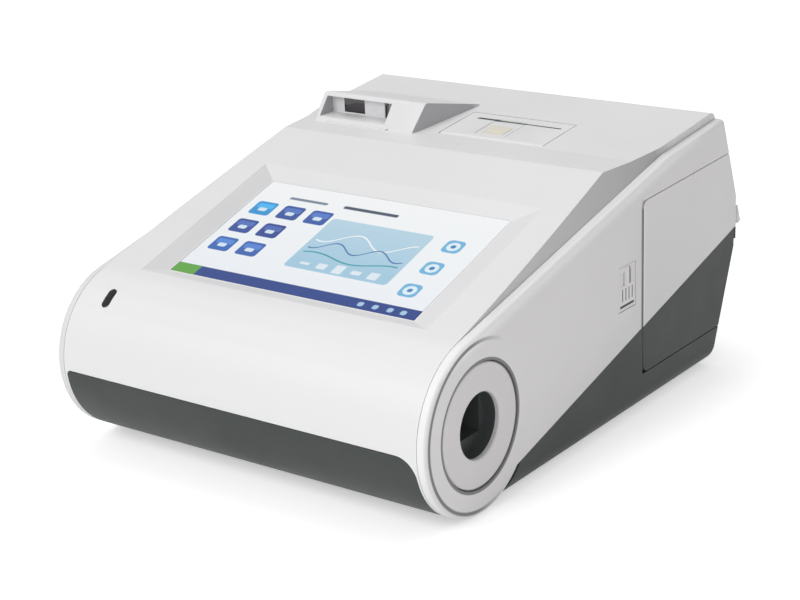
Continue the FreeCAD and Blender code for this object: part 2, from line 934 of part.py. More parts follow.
# Door and hinge places at the right rear
door_gap = size("door_gap")
door_front = size("door_front_y")
door_foot = size("door_foot_z")
door_head = size("door_head_z")
door_rear_head = door_head + size("door_head_rise")
hinge_x = plate_x + size("door_axis_depth")
hinge_y = back - size("door_axis_inset")
hinge_radius = size("door_axis_depth")
lug_foot = size("lug_foot_z")
lug_head = lug_foot + size("lug_height")
knuckle_foot = lug_head + size("knuckle_gap")
knuckle_head = knuckle_foot + size("knuckle_height")


def door_outline(margin):
    """The door seen from the right, larger by a margin at its front, head and foot."""
    return [
        (door_front - margin, door_foot - margin),
        (under_y(door_foot - margin) + margin, door_foot - margin),
        (back + margin, apex[1]),
        (back_y(door_rear_head + margin) + margin, door_rear_head + margin),
        (door_front - margin, door_head + margin),
    ]


lower.cut("YZ_Plane", plate_x - gap, half + over, door_outline(door_gap))

# Hinge lug on the tub, below the seam
lug_y = (hinge_y - hinge_radius, hinge_y + hinge_radius)
lower.box((plate_x - size("panel_wall"), hinge_x), lug_y, (lug_foot, lug_head))
lower.add_disc("XY_Plane", lug_foot, lug_head, hinge_x, hinge_y, hinge_radius)
pin_fit = size("hinge_pin_radius") + size("pin_clearance")
lower.cut_disc("XY_Plane", lug_foot - over, lug_head + over, hinge_x, hinge_y, pin_fit)

# Recess for the port plate in the lower back
plate_y = size("plate_y")
recess_wall = size("recess_wall")
recess_x = (-size("plate_left"), size("plate_right"))
recess_z = (size("plate_foot_z"), size("plate_head_z"))
frame_z = (recess_z[0] - recess_wall, recess_z[1] + recess_wall)
recess_block = [
    (plate_y - recess_wall, frame_z[0]),
    (under_y(frame_z[0]), frame_z[0]),
    (under_y(frame_z[1]), frame_z[1]),
    (plate_y - recess_wall, frame_z[1]),
]
lower.add("YZ_Plane", recess_x[0] - recess_wall, recess_x[1] + recess_wall, recess_block)
lower.cut_box(recess_x, (plate_y, back + over), recess_z)

# Battery opening in the floor
battery_x = (size("battery_x") - size("battery_width") / 2, size("battery_x") + size("battery_width") / 2)
battery_y = (size("battery_y") - size("battery_depth") / 2, size("battery_y") + size("battery_depth") / 2)
cover_inset = size("cover_inset")
cover_x = (battery_x[0] + cover_inset, battery_x[1] - cover_inset)
cover_y = (battery_y[0] + cover_inset, battery_y[1] - cover_inset)
lower.cut_box(cover_x, cover_y, (foot - over, floor_z + gap))

# Bosses that carry the chassis, and screws up through them
boss_places = [
    (side * size("boss_x"), y) for side in (1, -1) for y in (-size("boss_front_y"), size("boss_back_y"))
]
boss_radius = size("boss_radius")
screw_radius = size("screw_radius")
screw_fit = size("screw_fit")
head_radius = size("screw_head_radius")
head_height = size("screw_head_height")
chassis_z = size("chassis_z")
for x, y in boss_places:
    lower.add_disc("XY_Plane", foot, chassis_z, x, y, boss_radius)
    lower.cut_disc("XY_Plane", foot - over, chassis_z + over, x, y, screw_radius + screw_fit)
    lower.cut_disc("XY_Plane", foot - over, foot + head_height, x, y, head_radius + screw_fit)

# The upper back wall reaches out under the side panels
rim_foot_z = rail_end_z - rim_low - gap
back_strip = [
    (back_y(rim_foot_z), rim_foot_z),
    apex,
    (apex[0] - back_shift, apex[1]),
    (back_y(rim_foot_z) - back_shift, rim_foot_z),
]
upper.add("YZ_Plane", -(plate_x - gap), plate_x - gap, back_strip)
seam_trim = [
    (apex[0] + over, apex[1] + over * seam_slope + gap),
    (roll_y, seam_z(roll_y) + gap),
    (roll_y, foot - over),
    (apex[0] + over, foot - over),
]
upper.cut("YZ_Plane", -half, half, seam_trim)

# Strip of the shell behind the door's hinge, out to the face of the right side panel
tail_y = hinge_y + hinge_radius + size("door_tail_gap")
tail = [
    (tail_y, seam_z(tail_y) + gap),
    (apex[0], apex[1] + gap),
    (tail_y, apex[1] + (apex[0] - tail_y) / tangent(back_angle)),
]
upper.add("YZ_Plane", plate_x - gap * 2, half, tail)


def side_panel(name, side, openings=()):
    """A side panel: a plate with a turned-in rim along the rail and round the disc."""
    panel = Piece(name)
    outline = [
        (roll_y, roll_z),
        rail_start,
        rail_tip,
        rail_end,
        (apex[0], apex[1] + gap),
        (roll_y, seam_z(roll_y) + gap),
    ]
    low, high = span(side, rim_x, half)
    panel.add("YZ_Plane", low, high, outline)
    panel.add_disc("YZ_Plane", low, high, roll_y, roll_z, roll_radius)
    for opening in openings:
        panel.cut("YZ_Plane", low - over, high + over, opening)
    panel.round(
        size("edge_round"),
        lambda edge: near(abs(edge.CenterOfMass.x), half) and is_outer_edge(edge),
    )
    low, high = span(side, rim_x, plate_x)
    rim = size("rim_depth")
    past_disc = roll_y + roll_radius / 2
    inner = [
        (roll_y, roll_z),
        (roll_y, rail_z(roll_y) - rim),
        (rail_tip[0], rail_tip[1] - rim),
        (rail_end[0] + over, rail_end[1] - rim),
        (apex[0] + over, apex[1]),
        (apex[0] + over, seam_z(apex[0]) - over),
        (past_disc, seam_z(past_disc) - over),
        (past_disc, roll_z),
    ]
    panel.cut("YZ_Plane", low, high, inner)
    panel.cut_disc("YZ_Plane", low, high, roll_y, roll_z, roll_radius - rim)
    low, high = span(side, rim_x - over, half + over)
    panel.cut_disc("YZ_Plane", low, high, roll_y, roll_z, ring_outer)
    return panel


def is_outer_edge(edge):
    """The rail and the disc's rim, but not the seam or the back edge."""
    if isinstance(edge.Curve, Part.Circle):
        return near(edge.Curve.Radius, roll_radius)
    middle = edge.CenterOfMass
    return middle.z > rail_z(Dim(middle.y, "")).value - size("rim_depth").value and middle.y < rail_end[0].value


right_panel = side_panel("right_side_panel", 1, [door_outline(door_gap)])
left_panel = side_panel("left_side_panel", -1)
latch_y = (size("latch_y") - size("latch_depth") / 2, size("latch_y") + size("latch_depth") / 2)
latch_z = (size("latch_z") - size("latch_height") / 2, size("latch_z") + size("latch_height") / 2)
latch_gap = size("latch_gap")


def grow(pair, margin):
    return (pair[0] - margin, pair[1] + margin)


right_panel.cut_box((plate_x - over, half + over), grow(latch_y, latch_gap), grow(latch_z, latch_gap))


def disc_piece(name, role, low, high, u, v, radius):
    piece = Piece(name)
    piece.add_disc(role, low, high, u, v, radius)
    return piece


def box_piece(name, x, y, z, frame=None):
    piece = Piece(name)
    piece.box(x, y, z, frame)
    return piece


# Left panel: fan vents, fan bosses and a speaker grille
fan_y = size("fan_y")
fan_z = size("fan_z")
fan_half = size("fan_size") / 2
fan_hole = fan_half - size("fan_hole_inset")
fan_outer_x = -plate_x + size("fan_boss")
for corner_y in (fan_y - fan_hole, fan_y + fan_hole):
    for corner_z in (fan_z - fan_hole, fan_z + fan_hole):
        left_panel.add_disc("YZ_Plane", -plate_x, fan_outer_x, corner_y, corner_z, size("fan_boss_radius"))
vent_half = size("fan_bore_radius") - size("vent_width") / 2
for index in range(int(size("vent_count").value)):
    vent_z = fan_z + size("vent_pitch") * (index - (size("vent_count").value - 1) / 2)
    vent_zs = (vent_z - size("vent_width") / 2, vent_z + size("vent_width") / 2)
    left_panel.cut_box((-half - over, -plate_x + gap), (fan_y - vent_half, fan_y + vent_half), vent_zs)
speaker_y = size("speaker_y")
speaker_z = size("speaker_z")
for index in range(int(size("grille_ring_count").value)):
    turn = 2 * math.pi * index / size("grille_ring_count").value
    for ring in (1, 2):
        reach = size("grille_pitch") * ring
        hole = (speaker_y + reach * math.cos(turn), speaker_z + reach * math.sin(turn))
        left_panel.cut_disc("YZ_Plane", -half - over, -plate_x + gap, *hole, size("grille_radius"))

# Round cap in the left end of the roll
cap = disc_piece(
    "left_roll_cap", "YZ_Plane", -plate_x, -rim_x, roll_y, roll_z, ring_outer + size("liner_flange")
)
ring_radius = ring_outer - size("port_ring_gap")
ring_face = half - size("port_ring_set_back")
cap.add_disc("YZ_Plane", -ring_face, -plate_x, roll_y, roll_z, ring_radius)

# Test port in the right end of the roll
bore = size("port_bore_radius")
liner_end = plate_x - size("liner_length")
channel_face = plate_x - size("channel_step")
liner = disc_piece("port_liner", "YZ_Plane", liner_end, plate_x, roll_y, roll_z, bore + size("liner_wall"))
liner.add_disc("YZ_Plane", rim_x, plate_x, roll_y, roll_z, ring_outer + size("liner_flange"))
liner.cut_disc("YZ_Plane", channel_face, plate_x + over, roll_y, roll_z, bore)
channel_y = (roll_y - size("channel_width") / 2, roll_y + size("channel_width") / 2)
channel_z = (roll_z - size("channel_drop"), roll_z + size("channel_rise"))
liner.cut_box((liner_end - over, channel_face + over), channel_y, channel_z)
bezel = disc_piece("port_bezel", "YZ_Plane", plate_x, ring_face, roll_y, roll_z, ring_radius)
bezel.cut_disc("YZ_Plane", plate_x - over, half + over, roll_y, roll_z, bore)
bezel.round(
    size("liner_wall") / 2,
    lambda edge: isinstance(edge.Curve, Part.Circle) and near(edge.CenterOfMass.x, ring_face),
)

# Measuring module with its stand on the floor of the roll, and the heater plate on it
module_x = (liner_end - size("module_length"), liner_end)
module_y = (roll_y - size("module_depth") / 2, roll_y + size("module_depth") / 2)
module_z = (roll_z - size("module_height") / 2, roll_z + size("module_height") / 2)
module = box_piece("measuring_module", module_x, module_y, module_z)
stand_half = size("stand_half")
roll_inner = roll_radius - wall
stand_foot = roll_z - root(roll_inner * roll_inner - stand_half * stand_half) + size("pin_clearance")
stand_x = grow(module_x, -size("stand_inset"))
module.box(stand_x, (roll_y - stand_half, roll_y + stand_half), (stand_foot, module_z[0]))
slot_half = size("module_slot_half")
slot_x = (liner_end - size("module_slot"), liner_end + over)
module.cut_box(slot_x, channel_y, (roll_z - slot_half, roll_z + slot_half))
heater_z = (module_z[1], module_z[1] + size("heater_thickness"))
box_piece("heater_plate", grow(module_x, -stand_half / 2), grow(module_y, -stand_half / 2), heater_z)

# Screen: glass in the dish, panel behind it, sheet frame behind the panel
fit = size("pin_clearance")
glass_xs, glass_vs = around_screen(-gap, -gap, -gap)
box_piece("touch_glass", glass_xs, glass_vs, (lcd_top, -dish_depth - fit), face)
lcd_xs, lcd_vs = around_screen(lcd_lap, lcd_lap, lcd_lap)
box_piece("lcd_panel", lcd_xs, lcd_vs, (lcd_bottom, lcd_top), face)
frame_xs, frame_vs = around_screen(lcd_lap + frame_flange, lcd_lap, lcd_lap)
frame_low = lcd_bottom - size("frame_sheet")
display_frame = box_piece("display_frame", frame_xs, frame_vs, (frame_low, lcd_bottom), face)
window_in = grow(window_xs, -frame_flange * 3), grow(window_vs, -frame_flange * 3)
display_frame.cut_box(*window_in, (frame_low - over, lcd_bottom + over), face)
lens_out = (-wall - fit, -fit * 4)
box_piece("status_lens", grow(status_xs, -fit), grow(status_vs, -fit), lens_out, status)

# Chassis sheet with posts for the boards
chassis = Piece("chassis")
chassis_top = chassis_z + size("chassis_sheet")
chassis_x = size("chassis_half")
chassis_front = -size("chassis_front")
notch_x = battery_x[1] + over
notch_y = battery_y[1] + over
chassis_points = [
    (-chassis_x, notch_y),
    (notch_x, notch_y),
    (notch_x, chassis_front),
    (chassis_x, chassis_front),
    (chassis_x, size("chassis_back")),
    (-chassis_x, size("chassis_back")),
]
chassis.add("XY_Plane", chassis_z, chassis_top, chassis_points)
for x, y in boss_places:
    chassis.cut_disc("XY_Plane", chassis_z - over, chassis_top + over, x, y, screw_radius + screw_fit)
board_z = chassis_top + size("board_lift")
board_top = board_z + size("board_sheet")
post_inset = size("post_inset")


def board_box(prefix):
    x = size(f"{prefix}_x")
    y = size(f"{prefix}_y")
    half_x = size(f"{prefix}_width") / 2
    half_y = size(f"{prefix}_depth") / 2
    return (x - half_x, x + half_x), (y - half_y, y + half_y)


for prefix in ("main_board", "power_board"):
    board_x, board_y = board_box(prefix)
    box_piece(prefix, board_x, board_y, (board_z, board_top))
    for x in grow(board_x, -post_inset):
        for y in grow(board_y, -post_inset):
            chassis.add_disc("XY_Plane", chassis_top, board_z, x, y, size("post_radius"))

# Parts on the boards
parts = Piece("board_parts")
chip = size("chip_size")
chip_top = board_top + size("chip_height")
main_x, main_y = board_box("main_board")
power_x, power_y = board_box("power_board")
for step in (1, 3):
    chip_x = main_x[0] + chip * step
    parts.box((chip_x, chip_x + chip), (main_y[1] - chip - chip, main_y[1] - chip), (board_top, chip_top))
coil = size("coil_radius")
for step in (1, 3):
    coil_x = power_x[0] + coil * 2 * step
    parts.add_disc(
        "XY_Plane", board_top, board_top + size("coil_height"), coil_x, power_y[0] + coil * 3, coil
    )
sink = Piece("heat_sink")
sink_x = (main_x[0] + chip * 2, main_x[0] + chip * 3 + chip / 2)
sink_y = (main_y[0] + chip / 2, main_y[0] + chip * 2)
sink.box(sink_x, sink_y, (board_top, chip_top))
fin_count = int(size("fin_count").value)
fin = (sink_x[1] - sink_x[0]) / (fin_count * 2 - 1)
for index in range(fin_count):
    fin_x = sink_x[0] + fin * (2 * index)
    sink.box((fin_x, fin_x + fin), sink_y, (chip_top, board_top + size("sink_height")))

# Battery on the floor, and its cover
battery = box_piece("battery_pack", battery_x, battery_y, (floor_z, floor_z + size("battery_height")))
battery.round(boss_radius / 2, lambda edge: along(edge, 2))
box_piece("battery_cover", grow(cover_x, -gap), grow(cover_y, -gap), (foot, floor_z))

# Screws up into the chassis and through the port plate
plate_sheet = size("plate_sheet")
plate_top = plate_y + plate_sheet
screws = Piece("screws")
for x, y in boss_places:
    screws.add_disc("XY_Plane", foot, foot + head_height, x, y, head_radius)
    screws.add_disc("XY_Plane", foot + head_height, chassis_top + head_height, x, y, screw_radius)
port_screws = Piece("port_screws")
for x in grow(recess_x, -size("plate_screw_inset")):
    for z in grow(recess_z, -size("plate_screw_inset")):
        port_screws.add_disc("XZ_Plane", plate_top, plate_top + head_height, x, z, head_radius)
        port_screws.add_disc("XZ_Plane", plate_y - recess_wall, plate_top, x, z, screw_radius)

# Feet
feet = Piece("feet")
for x in (-size("foot_x"), size("foot_x")):
    for y in (size("foot_front_y"), size("foot_back_y")):
        feet.add_disc("XY_Plane", 0, foot, x, y, size("foot_radius"))


# Fan behind the vents: a frame with a bar cross, and a rotor with twisted blades
fan_in = fan_outer_x + size("fan_thickness")
fan_bore = size("fan_bore_radius")
fan_seat = fan_in - size("fan_seat")
fan_frame = Piece("fan_frame")
fan_ys = (fan_y - fan_half, fan_y + fan_half)
fan_zs = (fan_z - fan_half, fan_z + fan_half)
fan_frame.box((fan_outer_x, fan_in), fan_ys, fan_zs)
fan_frame.cut_disc("YZ_Plane", fan_outer_x - over, fan_in + over, fan_y, fan_z, fan_bore)
fan_hub = size("fan_hub_radius")
bar = size("fan_spoke") / 2
bar_reach = fan_bore + gap
fan_frame.add_disc("YZ_Plane", fan_seat, fan_in, fan_y, fan_z, fan_hub)
fan_frame.add(
    "YZ_Plane", fan_seat, fan_in, rectangle(fan_y - bar, fan_y + bar, fan_z - bar_reach, fan_z + bar_reach)
)
fan_frame.add(
    "YZ_Plane", fan_seat, fan_in, rectangle(fan_y - bar_reach, fan_y + bar_reach, fan_z - bar, fan_z + bar)
)
fan_shaft = size("fan_shaft_radius")
fan_frame.cut_disc("YZ_Plane", fan_seat - over, fan_in + over, fan_y, fan_z, fan_shaft + fit)
rotor_x = (fan_outer_x + size("fan_tip_gap"), fan_seat - gap)
fan_rotor = disc_piece("fan_rotor", "YZ_Plane", *rotor_x, fan_y, fan_z, fan_hub)
fan_rotor.add_disc("YZ_Plane", rotor_x[1], fan_in - gap, fan_y, fan_z, fan_shaft)
blade_half = size("fan_blade") / 2
blade_radii = (fan_hub - blade_half * 2, fan_bore - size("fan_tip_gap"))


def blade_section(x, turn):
    """A thin radial rectangle across X, turned about the fan's axis."""
    corners = ((0, -1), (1, -1), (1, 1), (0, 1))
    points = []
    for reach, side in corners:
        radius = blade_radii[reach]
        thick = blade_half * side
        y = fan_y + radius * math.cos(turn) - thick * math.sin(turn)
        z = fan_z + radius * math.sin(turn) + thick * math.cos(turn)
        points.append((y, z))
    return fan_rotor.outline(fan_rotor.sketch("YZ_Plane", x), points)


for index in range(int(size("fan_blade_count").value)):
    turn = 2 * math.pi * index / size("fan_blade_count").value
    twist = math.radians(size("fan_pitch_angle").value)
    sections = [blade_section(rotor_x[0] + gap, turn), blade_section(rotor_x[1] - gap, turn + twist)]
    fan_rotor.loft("AdditiveLoft", sections)

# Speaker behind the grille
speaker_in = -plate_x + size("speaker_depth")
speaker_rim = size("speaker_rim")
speaker_r = size("speaker_radius")
speaker = disc_piece("speaker", "YZ_Plane", -plate_x, speaker_in, speaker_y, speaker_z, speaker_r)
speaker.add_disc("YZ_Plane", -plate_x, -plate_x + wall, speaker_y, speaker_z, speaker_r + speaker_rim)
magnet_x = speaker_in + size("magnet_depth")
speaker.add_disc("YZ_Plane", speaker_in, magnet_x, speaker_y, speaker_z, size("magnet_radius"))
speaker.cut_disc("YZ_Plane", -plate_x - over, -plate_x + wall, speaker_y, speaker_z, speaker_r - speaker_rim)

# Pack bay at the right, open to the door, on ribs that stand on the chassis
sheet_in = plate_x - size("door_inner_sheet")
bay_x = (sheet_in - size("bay_mouth_gap") - size("bay_width"), sheet_in - size("bay_mouth_gap"))
bay_y = (size("bay_front_y"), size("bay_front_y") + size("bay_depth"))
bay_z = (size("bay_foot_z"), size("bay_head_z"))
bay_wall = size("bay_wall")
bay = box_piece("pack_bay", bay_x, bay_y, bay_z)
room_x = (bay_x[0] + bay_wall, bay_x[1] + over)
room_y = grow(bay_y, -bay_wall)
room_z = grow(bay_z, -bay_wall)
bay.cut_box(room_x, room_y, room_z)
bay_leg = size("bay_leg")
bay_leg_shares = (2, 7.5)
for leg_share in bay_leg_shares:
    leg_x = bay_x[0] + bay_leg * leg_share
    bay.box(
        (leg_x, leg_x + bay_leg), (bay_y[0] + bay_leg, size("chassis_back") - bay_leg), (chassis_top, bay_z[0])
    )

# Calibrant pack with a finger notch and two spouts that pass the bay's inner wall
pack_gap = size("pack_gap")
pack_x = (room_x[0], bay_x[1] - pack_gap)
pack_y = grow(room_y, -pack_gap)
pack_z = (room_z[0], room_z[1] - pack_gap)
pack = box_piece("calibrant_pack", pack_x, pack_y, pack_z)
pack.round(boss_radius / 2, lambda edge: along(edge, 0))
pull = size("pack_pull")
middle_y = (pack_y[0] + pack_y[1]) / 2
pull_x = (pack_x[1] - size("pack_pull_depth"), pack_x[1] + over)
pack.cut_box(pull_x, (middle_y - pull, middle_y + pull), (pack_z[1] - pull, pack_z[1] - pull / 3))
tube_z = size("tube_z")
pitch = size("spout_pitch")
spout_radius = size("spout_radius")
spout_ys = (middle_y - pitch / 2, middle_y + pitch / 2)
coupler_x = (bay_x[0] - size("coupler_thickness"), bay_x[0])
margin = size("coupler_margin")
coupler = box_piece("fluid_coupler", coupler_x, grow(spout_ys, margin), (tube_z - margin, tube_z + margin))
spout_tip = pack_x[0] - size("spout_length")
nipple = size("nipple_radius")
nipple_out = size("nipple_length")
for y in spout_ys:
    pack.add_disc("YZ_Plane", spout_tip, pack_x[0], y, tube_z, spout_radius)
    bay.cut_disc("YZ_Plane", bay_x[0] - over, room_x[0] + over, y, tube_z, spout_radius + gap)
    coupler.cut_disc("YZ_Plane", spout_tip - gap, coupler_x[1] + over, y, tube_z, spout_radius + gap)
    coupler.add_disc("YZ_Plane", coupler_x[0] - nipple_out, coupler_x[0], y, tube_z, nipple)

# Bay door: a light upper half and a dark lower half that meet on the seam, on an inner sheet
door_rear = size("lower_door_inset")
seam_front = (door_front, seam_z(door_front))
knee_z = apex[1] + (back - hinge_y) / tangent(back_angle)
door_upper = Piece("door_upper")
upper_door_points = [
    seam_front,
    (hinge_y, seam_z(hinge_y)),
    (hinge_y, knee_z),
    (back_y(door_rear_head), door_rear_head),
    (door_front, door_head),
]
door_upper.add("YZ_Plane", plate_x, half, upper_door_points)
door_upper.add_disc("XY_Plane", knuckle_foot, knuckle_head, hinge_x, hinge_y, hinge_radius)
door_upper.cut_disc("XY_Plane", lug_foot, knuckle_head + over, hinge_x, hinge_y, pin_fit)
lower_rear = hinge_y - door_rear
door_lower = Piece("door_lower")
lower_door_points = [
    (door_front, door_foot),
    (under_y(door_foot), door_foot),
    (lower_rear, under_z(lower_rear)),
    (lower_rear, seam_z(lower_rear)),
    seam_front,
]
door_lower.add("YZ_Plane", plate_x, half, lower_door_points)
for piece, corner_z in ((door_upper, door_head), (door_lower, door_foot)):
    piece.round(
        size("door_round"),
        lambda edge: along(edge, 0)
        and near(edge.CenterOfMass.y, door_front)
        and near(edge.CenterOfMass.z, corner_z),
    )
inset = size("door_inner_inset")
inner_rear = hinge_y - inset
inner_door_points = [
    (door_front + inset, door_foot + inset),
    (under_y(door_foot + inset) - inset, door_foot + inset),
    (inner_rear, under_z(hinge_y)),
    (inner_rear, knee_z - inset / 2),
    (back_y(door_rear_head - inset) - inset - gap, door_rear_head - inset),
    (door_front + inset, door_head - inset),
]
door_inner = Piece("door_inner_sheet")
door_inner.add("YZ_Plane", sheet_in, plate_x, inner_door_points)
pin = size("hinge_pin_radius")
disc_piece("door_hinge_pin", "XY_Plane", lug_foot, knuckle_head, hinge_x, hinge_y, pin)

# Latch button, its bracket and its spring
latch_back = plate_x - size("latch_back")
latch_in = latch_back - size("latch_flange")
latch_face = half - gap
latch = box_piece("door_latch", (latch_back, latch_face), latch_y, latch_z)
latch_flange = size("latch_flange")
latch.box((latch_in, latch_back), grow(latch_y, latch_flange), grow(latch_z, latch_flange))
groove = size("latch_groove")
groove_x = (latch_face - size("latch_groove_depth"), latch_face + over)
latch_middle = size("latch_y")
for side in (-1, 1):
    groove_y = latch_middle + groove * 2 * side
    latch.cut_box(groove_x, (groove_y - groove / 2, groove_y + groove / 2), grow(latch_z, -groove * 2))
bracket_sheet = size("bracket_sheet")
spring_x = (latch_in - size("spring_length"), latch_in)
bracket_in = grow(latch_y, latch_flange + latch_gap)
bracket_z = grow(latch_z, -bracket_sheet * 2)
bracket = box_piece(
    "latch_bracket", (spring_x[0] - bracket_sheet, plate_x), grow(bracket_in, bracket_sheet), bracket_z
)
bracket.cut_box((spring_x[0], plate_x + over), bracket_in, grow(bracket_z, over))

# Printer lid: a plate on a hinge barrel, with cheeks that carry the platen
lid_x = (printer_x - lid_half, printer_x + lid_half)
lid = box_piece("printer_lid", lid_x, (lid_front, lid_back), (lid_axis, dim(0)), deck)
lid.add_disc("YZ_Plane", *lid_x, hole_y, hole_z, knuckle)
lid.cut_disc("YZ_Plane", lid_x[0] - over, lid_x[1] + over, hole_y, hole_z, pin_radius + fit)
roller_half = size("platen_length") / 2
cheek = size("cheek_thickness")
cheek_low = lid_axis - size("cheek_height")
roller_v = lid_back - size("platen_back")
roller_out = -size("platen_depth")
roller_radius = size("platen_radius")
axle = size("platen_axle_radius")
cheek_v = (roller_v - axle * 2, roller_v + axle * 2)
roller_y, roller_z = deck.at(roller_v, roller_out)
for side in (1, -1):
    cheek_x = span(side, roller_half + gap, roller_half + gap + cheek)
    lid.box((printer_x + cheek_x[0], printer_x + cheek_x[1]), cheek_v, (cheek_low, lid_axis), deck)
lid.cut_disc(
    "YZ_Plane", *grow((printer_x, printer_x), roller_half + cheek + over), roller_y, roller_z, axle + fit
)
pin_x = (opening_x[0] - pin_reach, opening_x[1] + pin_reach)
disc_piece("lid_hinge_pin", "YZ_Plane", *pin_x, hole_y, hole_z, pin_radius)

# Ivory tab that slides back in a seat on the lid
tab_half = size("tab_width") / 2
tab_seat = size("tab_seat")
tab_v = (lid_back - size("tab_inset") - size("tab_length"), lid_back - size("tab_inset"))
tab_middle = printer_x - size("tab_shift")
tab_x = (tab_middle - tab_half, tab_middle + tab_half)
lid.cut_box(grow(tab_x, gap), (tab_v[0] - gap, tab_v[1] + size("tab_travel") + gap), (-tab_seat, over), deck)
box_piece("lid_tab", tab_x, tab_v, (-tab_seat, size("tab_rise")), deck)

# Platen roller with its gear, and the drive gear below it
gear_module = size("gear_module")
tooth_count = int(size("gear_tooth_count").value)
gear_radius = gear_module * tooth_count / 2
gear_x = printer_x + roller_half + gap + cheek + gap
gear_xs = (gear_x, gear_x + size("gear_width"))
drive_out = roller_out - gear_radius * 2 - size("gear_backlash")


def gear(piece, v, out, phase):
    """A spur gear across X at a place in the deck frame, with a tooth at the phase angle."""
    tip = gear_radius + gear_module * TOOTH_TIP_share
    low = gear_radius - gear_module * TOOTH_ROOT_share
    step = 2 * math.pi / tooth_count
    points = []
    for index in range(tooth_count):
        middle = phase + step * index
        wide = step * TOOTH_FLANK_share
        slim = wide * TOOTH_SLIM_share
        for radius, turn in ((low, -wide), (tip, -slim), (tip, slim), (low, wide)):
            reach = (v + radius * math.cos(middle + turn), out + radius * math.sin(middle + turn))
            points.append(deck.at(*reach))
    piece.add("YZ_Plane", *gear_xs, points)


platen = Piece("platen_roller")
platen.add_disc(
    "YZ_Plane", printer_x - roller_half, printer_x + roller_half, roller_y, roller_z, roller_radius
)
axle_x = (printer_x - roller_half - gap - cheek, gear_x)
platen.add_disc("YZ_Plane", *axle_x, roller_y, roller_z, axle)
gear(platen, roller_v, roller_out, -math.pi / 2)
drive = Piece("drive_gear")
gear(drive, roller_v, drive_out, math.pi / 2 + math.pi / tooth_count)

# Printer frame: a paper bucket with a flange under the deck, the print head and the motor
bucket_half = size("bucket_width") / 2
bucket_wall = size("bucket_wall")
paper_radius = size("roll_paper_radius")
paper_v = size("paper_v")
paper_out = -size("paper_drop")
room = paper_radius + size("paper_room")
head_start = roller_v + roller_radius + size("head_gap")
head_v = (head_start, head_start + size("head_thickness"))
bucket_v = (paper_v - room - bucket_wall, head_v[1] + bucket_wall)
bucket_low = paper_out - room - bucket_wall
bucket = Piece("printer_frame")
bucket_x = (printer_x - bucket_half, printer_x + bucket_half)
flange_x = (opening_x[0] - size("bucket_flange"), opening_x[1] + size("bucket_flange"))
bucket.box(bucket_x, bucket_v, (bucket_low, -ear_drop), deck)
bucket.box(flange_x, bucket_v, (-ear_drop - bucket_wall, -ear_drop), deck)
inner_v = grow(bucket_v, -bucket_wall)
bucket.cut_box(grow(bucket_x, -bucket_wall), inner_v, (bucket_low + bucket_wall, over), deck)
drive_y, drive_z = deck.at(roller_v, drive_out)
shaft = size("shaft_radius")
bucket.cut_disc("YZ_Plane", gear_x, bucket_x[1] + over, drive_y, drive_z, shaft + fit)
motor_x = (bucket_x[1], bucket_x[1] + size("motor_length"))
motor = disc_piece("printer_motor", "YZ_Plane", *motor_x, drive_y, drive_z, size("motor_radius"))
motor.cut_disc(
    "YZ_Plane", motor_x[0] - over, motor_x[0] + size("motor_length") / 2, drive_y, drive_z, shaft + fit
)
drive.add_disc("YZ_Plane", gear_xs[1], motor_x[0] + size("motor_length") / 2 - gap, drive_y, drive_z, shaft)
head_half = roller_half - cheek
head_out = (-wall - gap - size("head_height"), -wall - gap)
box_piece("print_head", (printer_x - head_half, printer_x + head_half), head_v, head_out, deck)
paper_half = size("roll_paper_width") / 2
paper_y, paper_z = deck.at(paper_v, paper_out)
paper_x = (printer_x - paper_half, printer_x + paper_half)
paper = disc_piece("paper_roll", "YZ_Plane", *paper_x, paper_y, paper_z, paper_radius)
paper.cut_disc("YZ_Plane", *grow(paper_x, over), paper_y, paper_z, size("roll_core_radius"))

# Scanner hood on the deck, with a bay in its front that looks forward
hood_left = -size("hood_left")
hood_foot_y = size("hood_front_y")
band_slope = size("brow_band_rise") / size("brow_band")
hood_front = (hood_foot_y, brow[1] + (hood_foot_y - brow[0]) * band_slope)
hood_top = (size("hood_top_y"), size("casing_height"))
hood_back_foot = (size("hood_back_y"), deck_z(size("hood_back_y")))
hood_back = (hood_back_foot[0], hood_back_foot[1] + size("hood_back_lift"))
hood = Piece("scanner_hood")
hood_points = [hood_front, deck_start, hood_back_foot, hood_back, hood_top]
hood.add("YZ_Plane", hood_left, -size("hood_right_back"), hood_points)
slant = (size("hood_right_front") - size("hood_right_back")) / (hood_back[0] - hood_front[0])
right_front = -size("hood_right_front") - over * slant
right_back = -size("hood_right_back") + over * slant
hood_right = [
    (right_front, hood_front[0] - over),
    (right_back, hood_back[0] + over),
    (right_back + over, hood_back[0] + over),
    (right_back + over, hood_front[0] - over),
]
hood.cut("XY_Plane", hood_front[1] - over, hood_top[1] + over, hood_right)
hood.round(
    size("hood_round"),
    lambda edge: along(edge, 0)
    and near(edge.CenterOfMass.y, hood_top[0])
    and near(edge.CenterOfMass.z, hood_top[1]),
)
hood.round(
    size("hood_round"),
    lambda edge: near(edge.CenterOfMass.x, hood_left) and edge.CenterOfMass.z > hood_back[1].value,
)
hood_fall = (hood_top[1] - hood_back[1]) / (hood_back[0] - hood_top[0])


def hood_z(y):
    return hood_top[1] - (y - hood_top[0]) * hood_fall


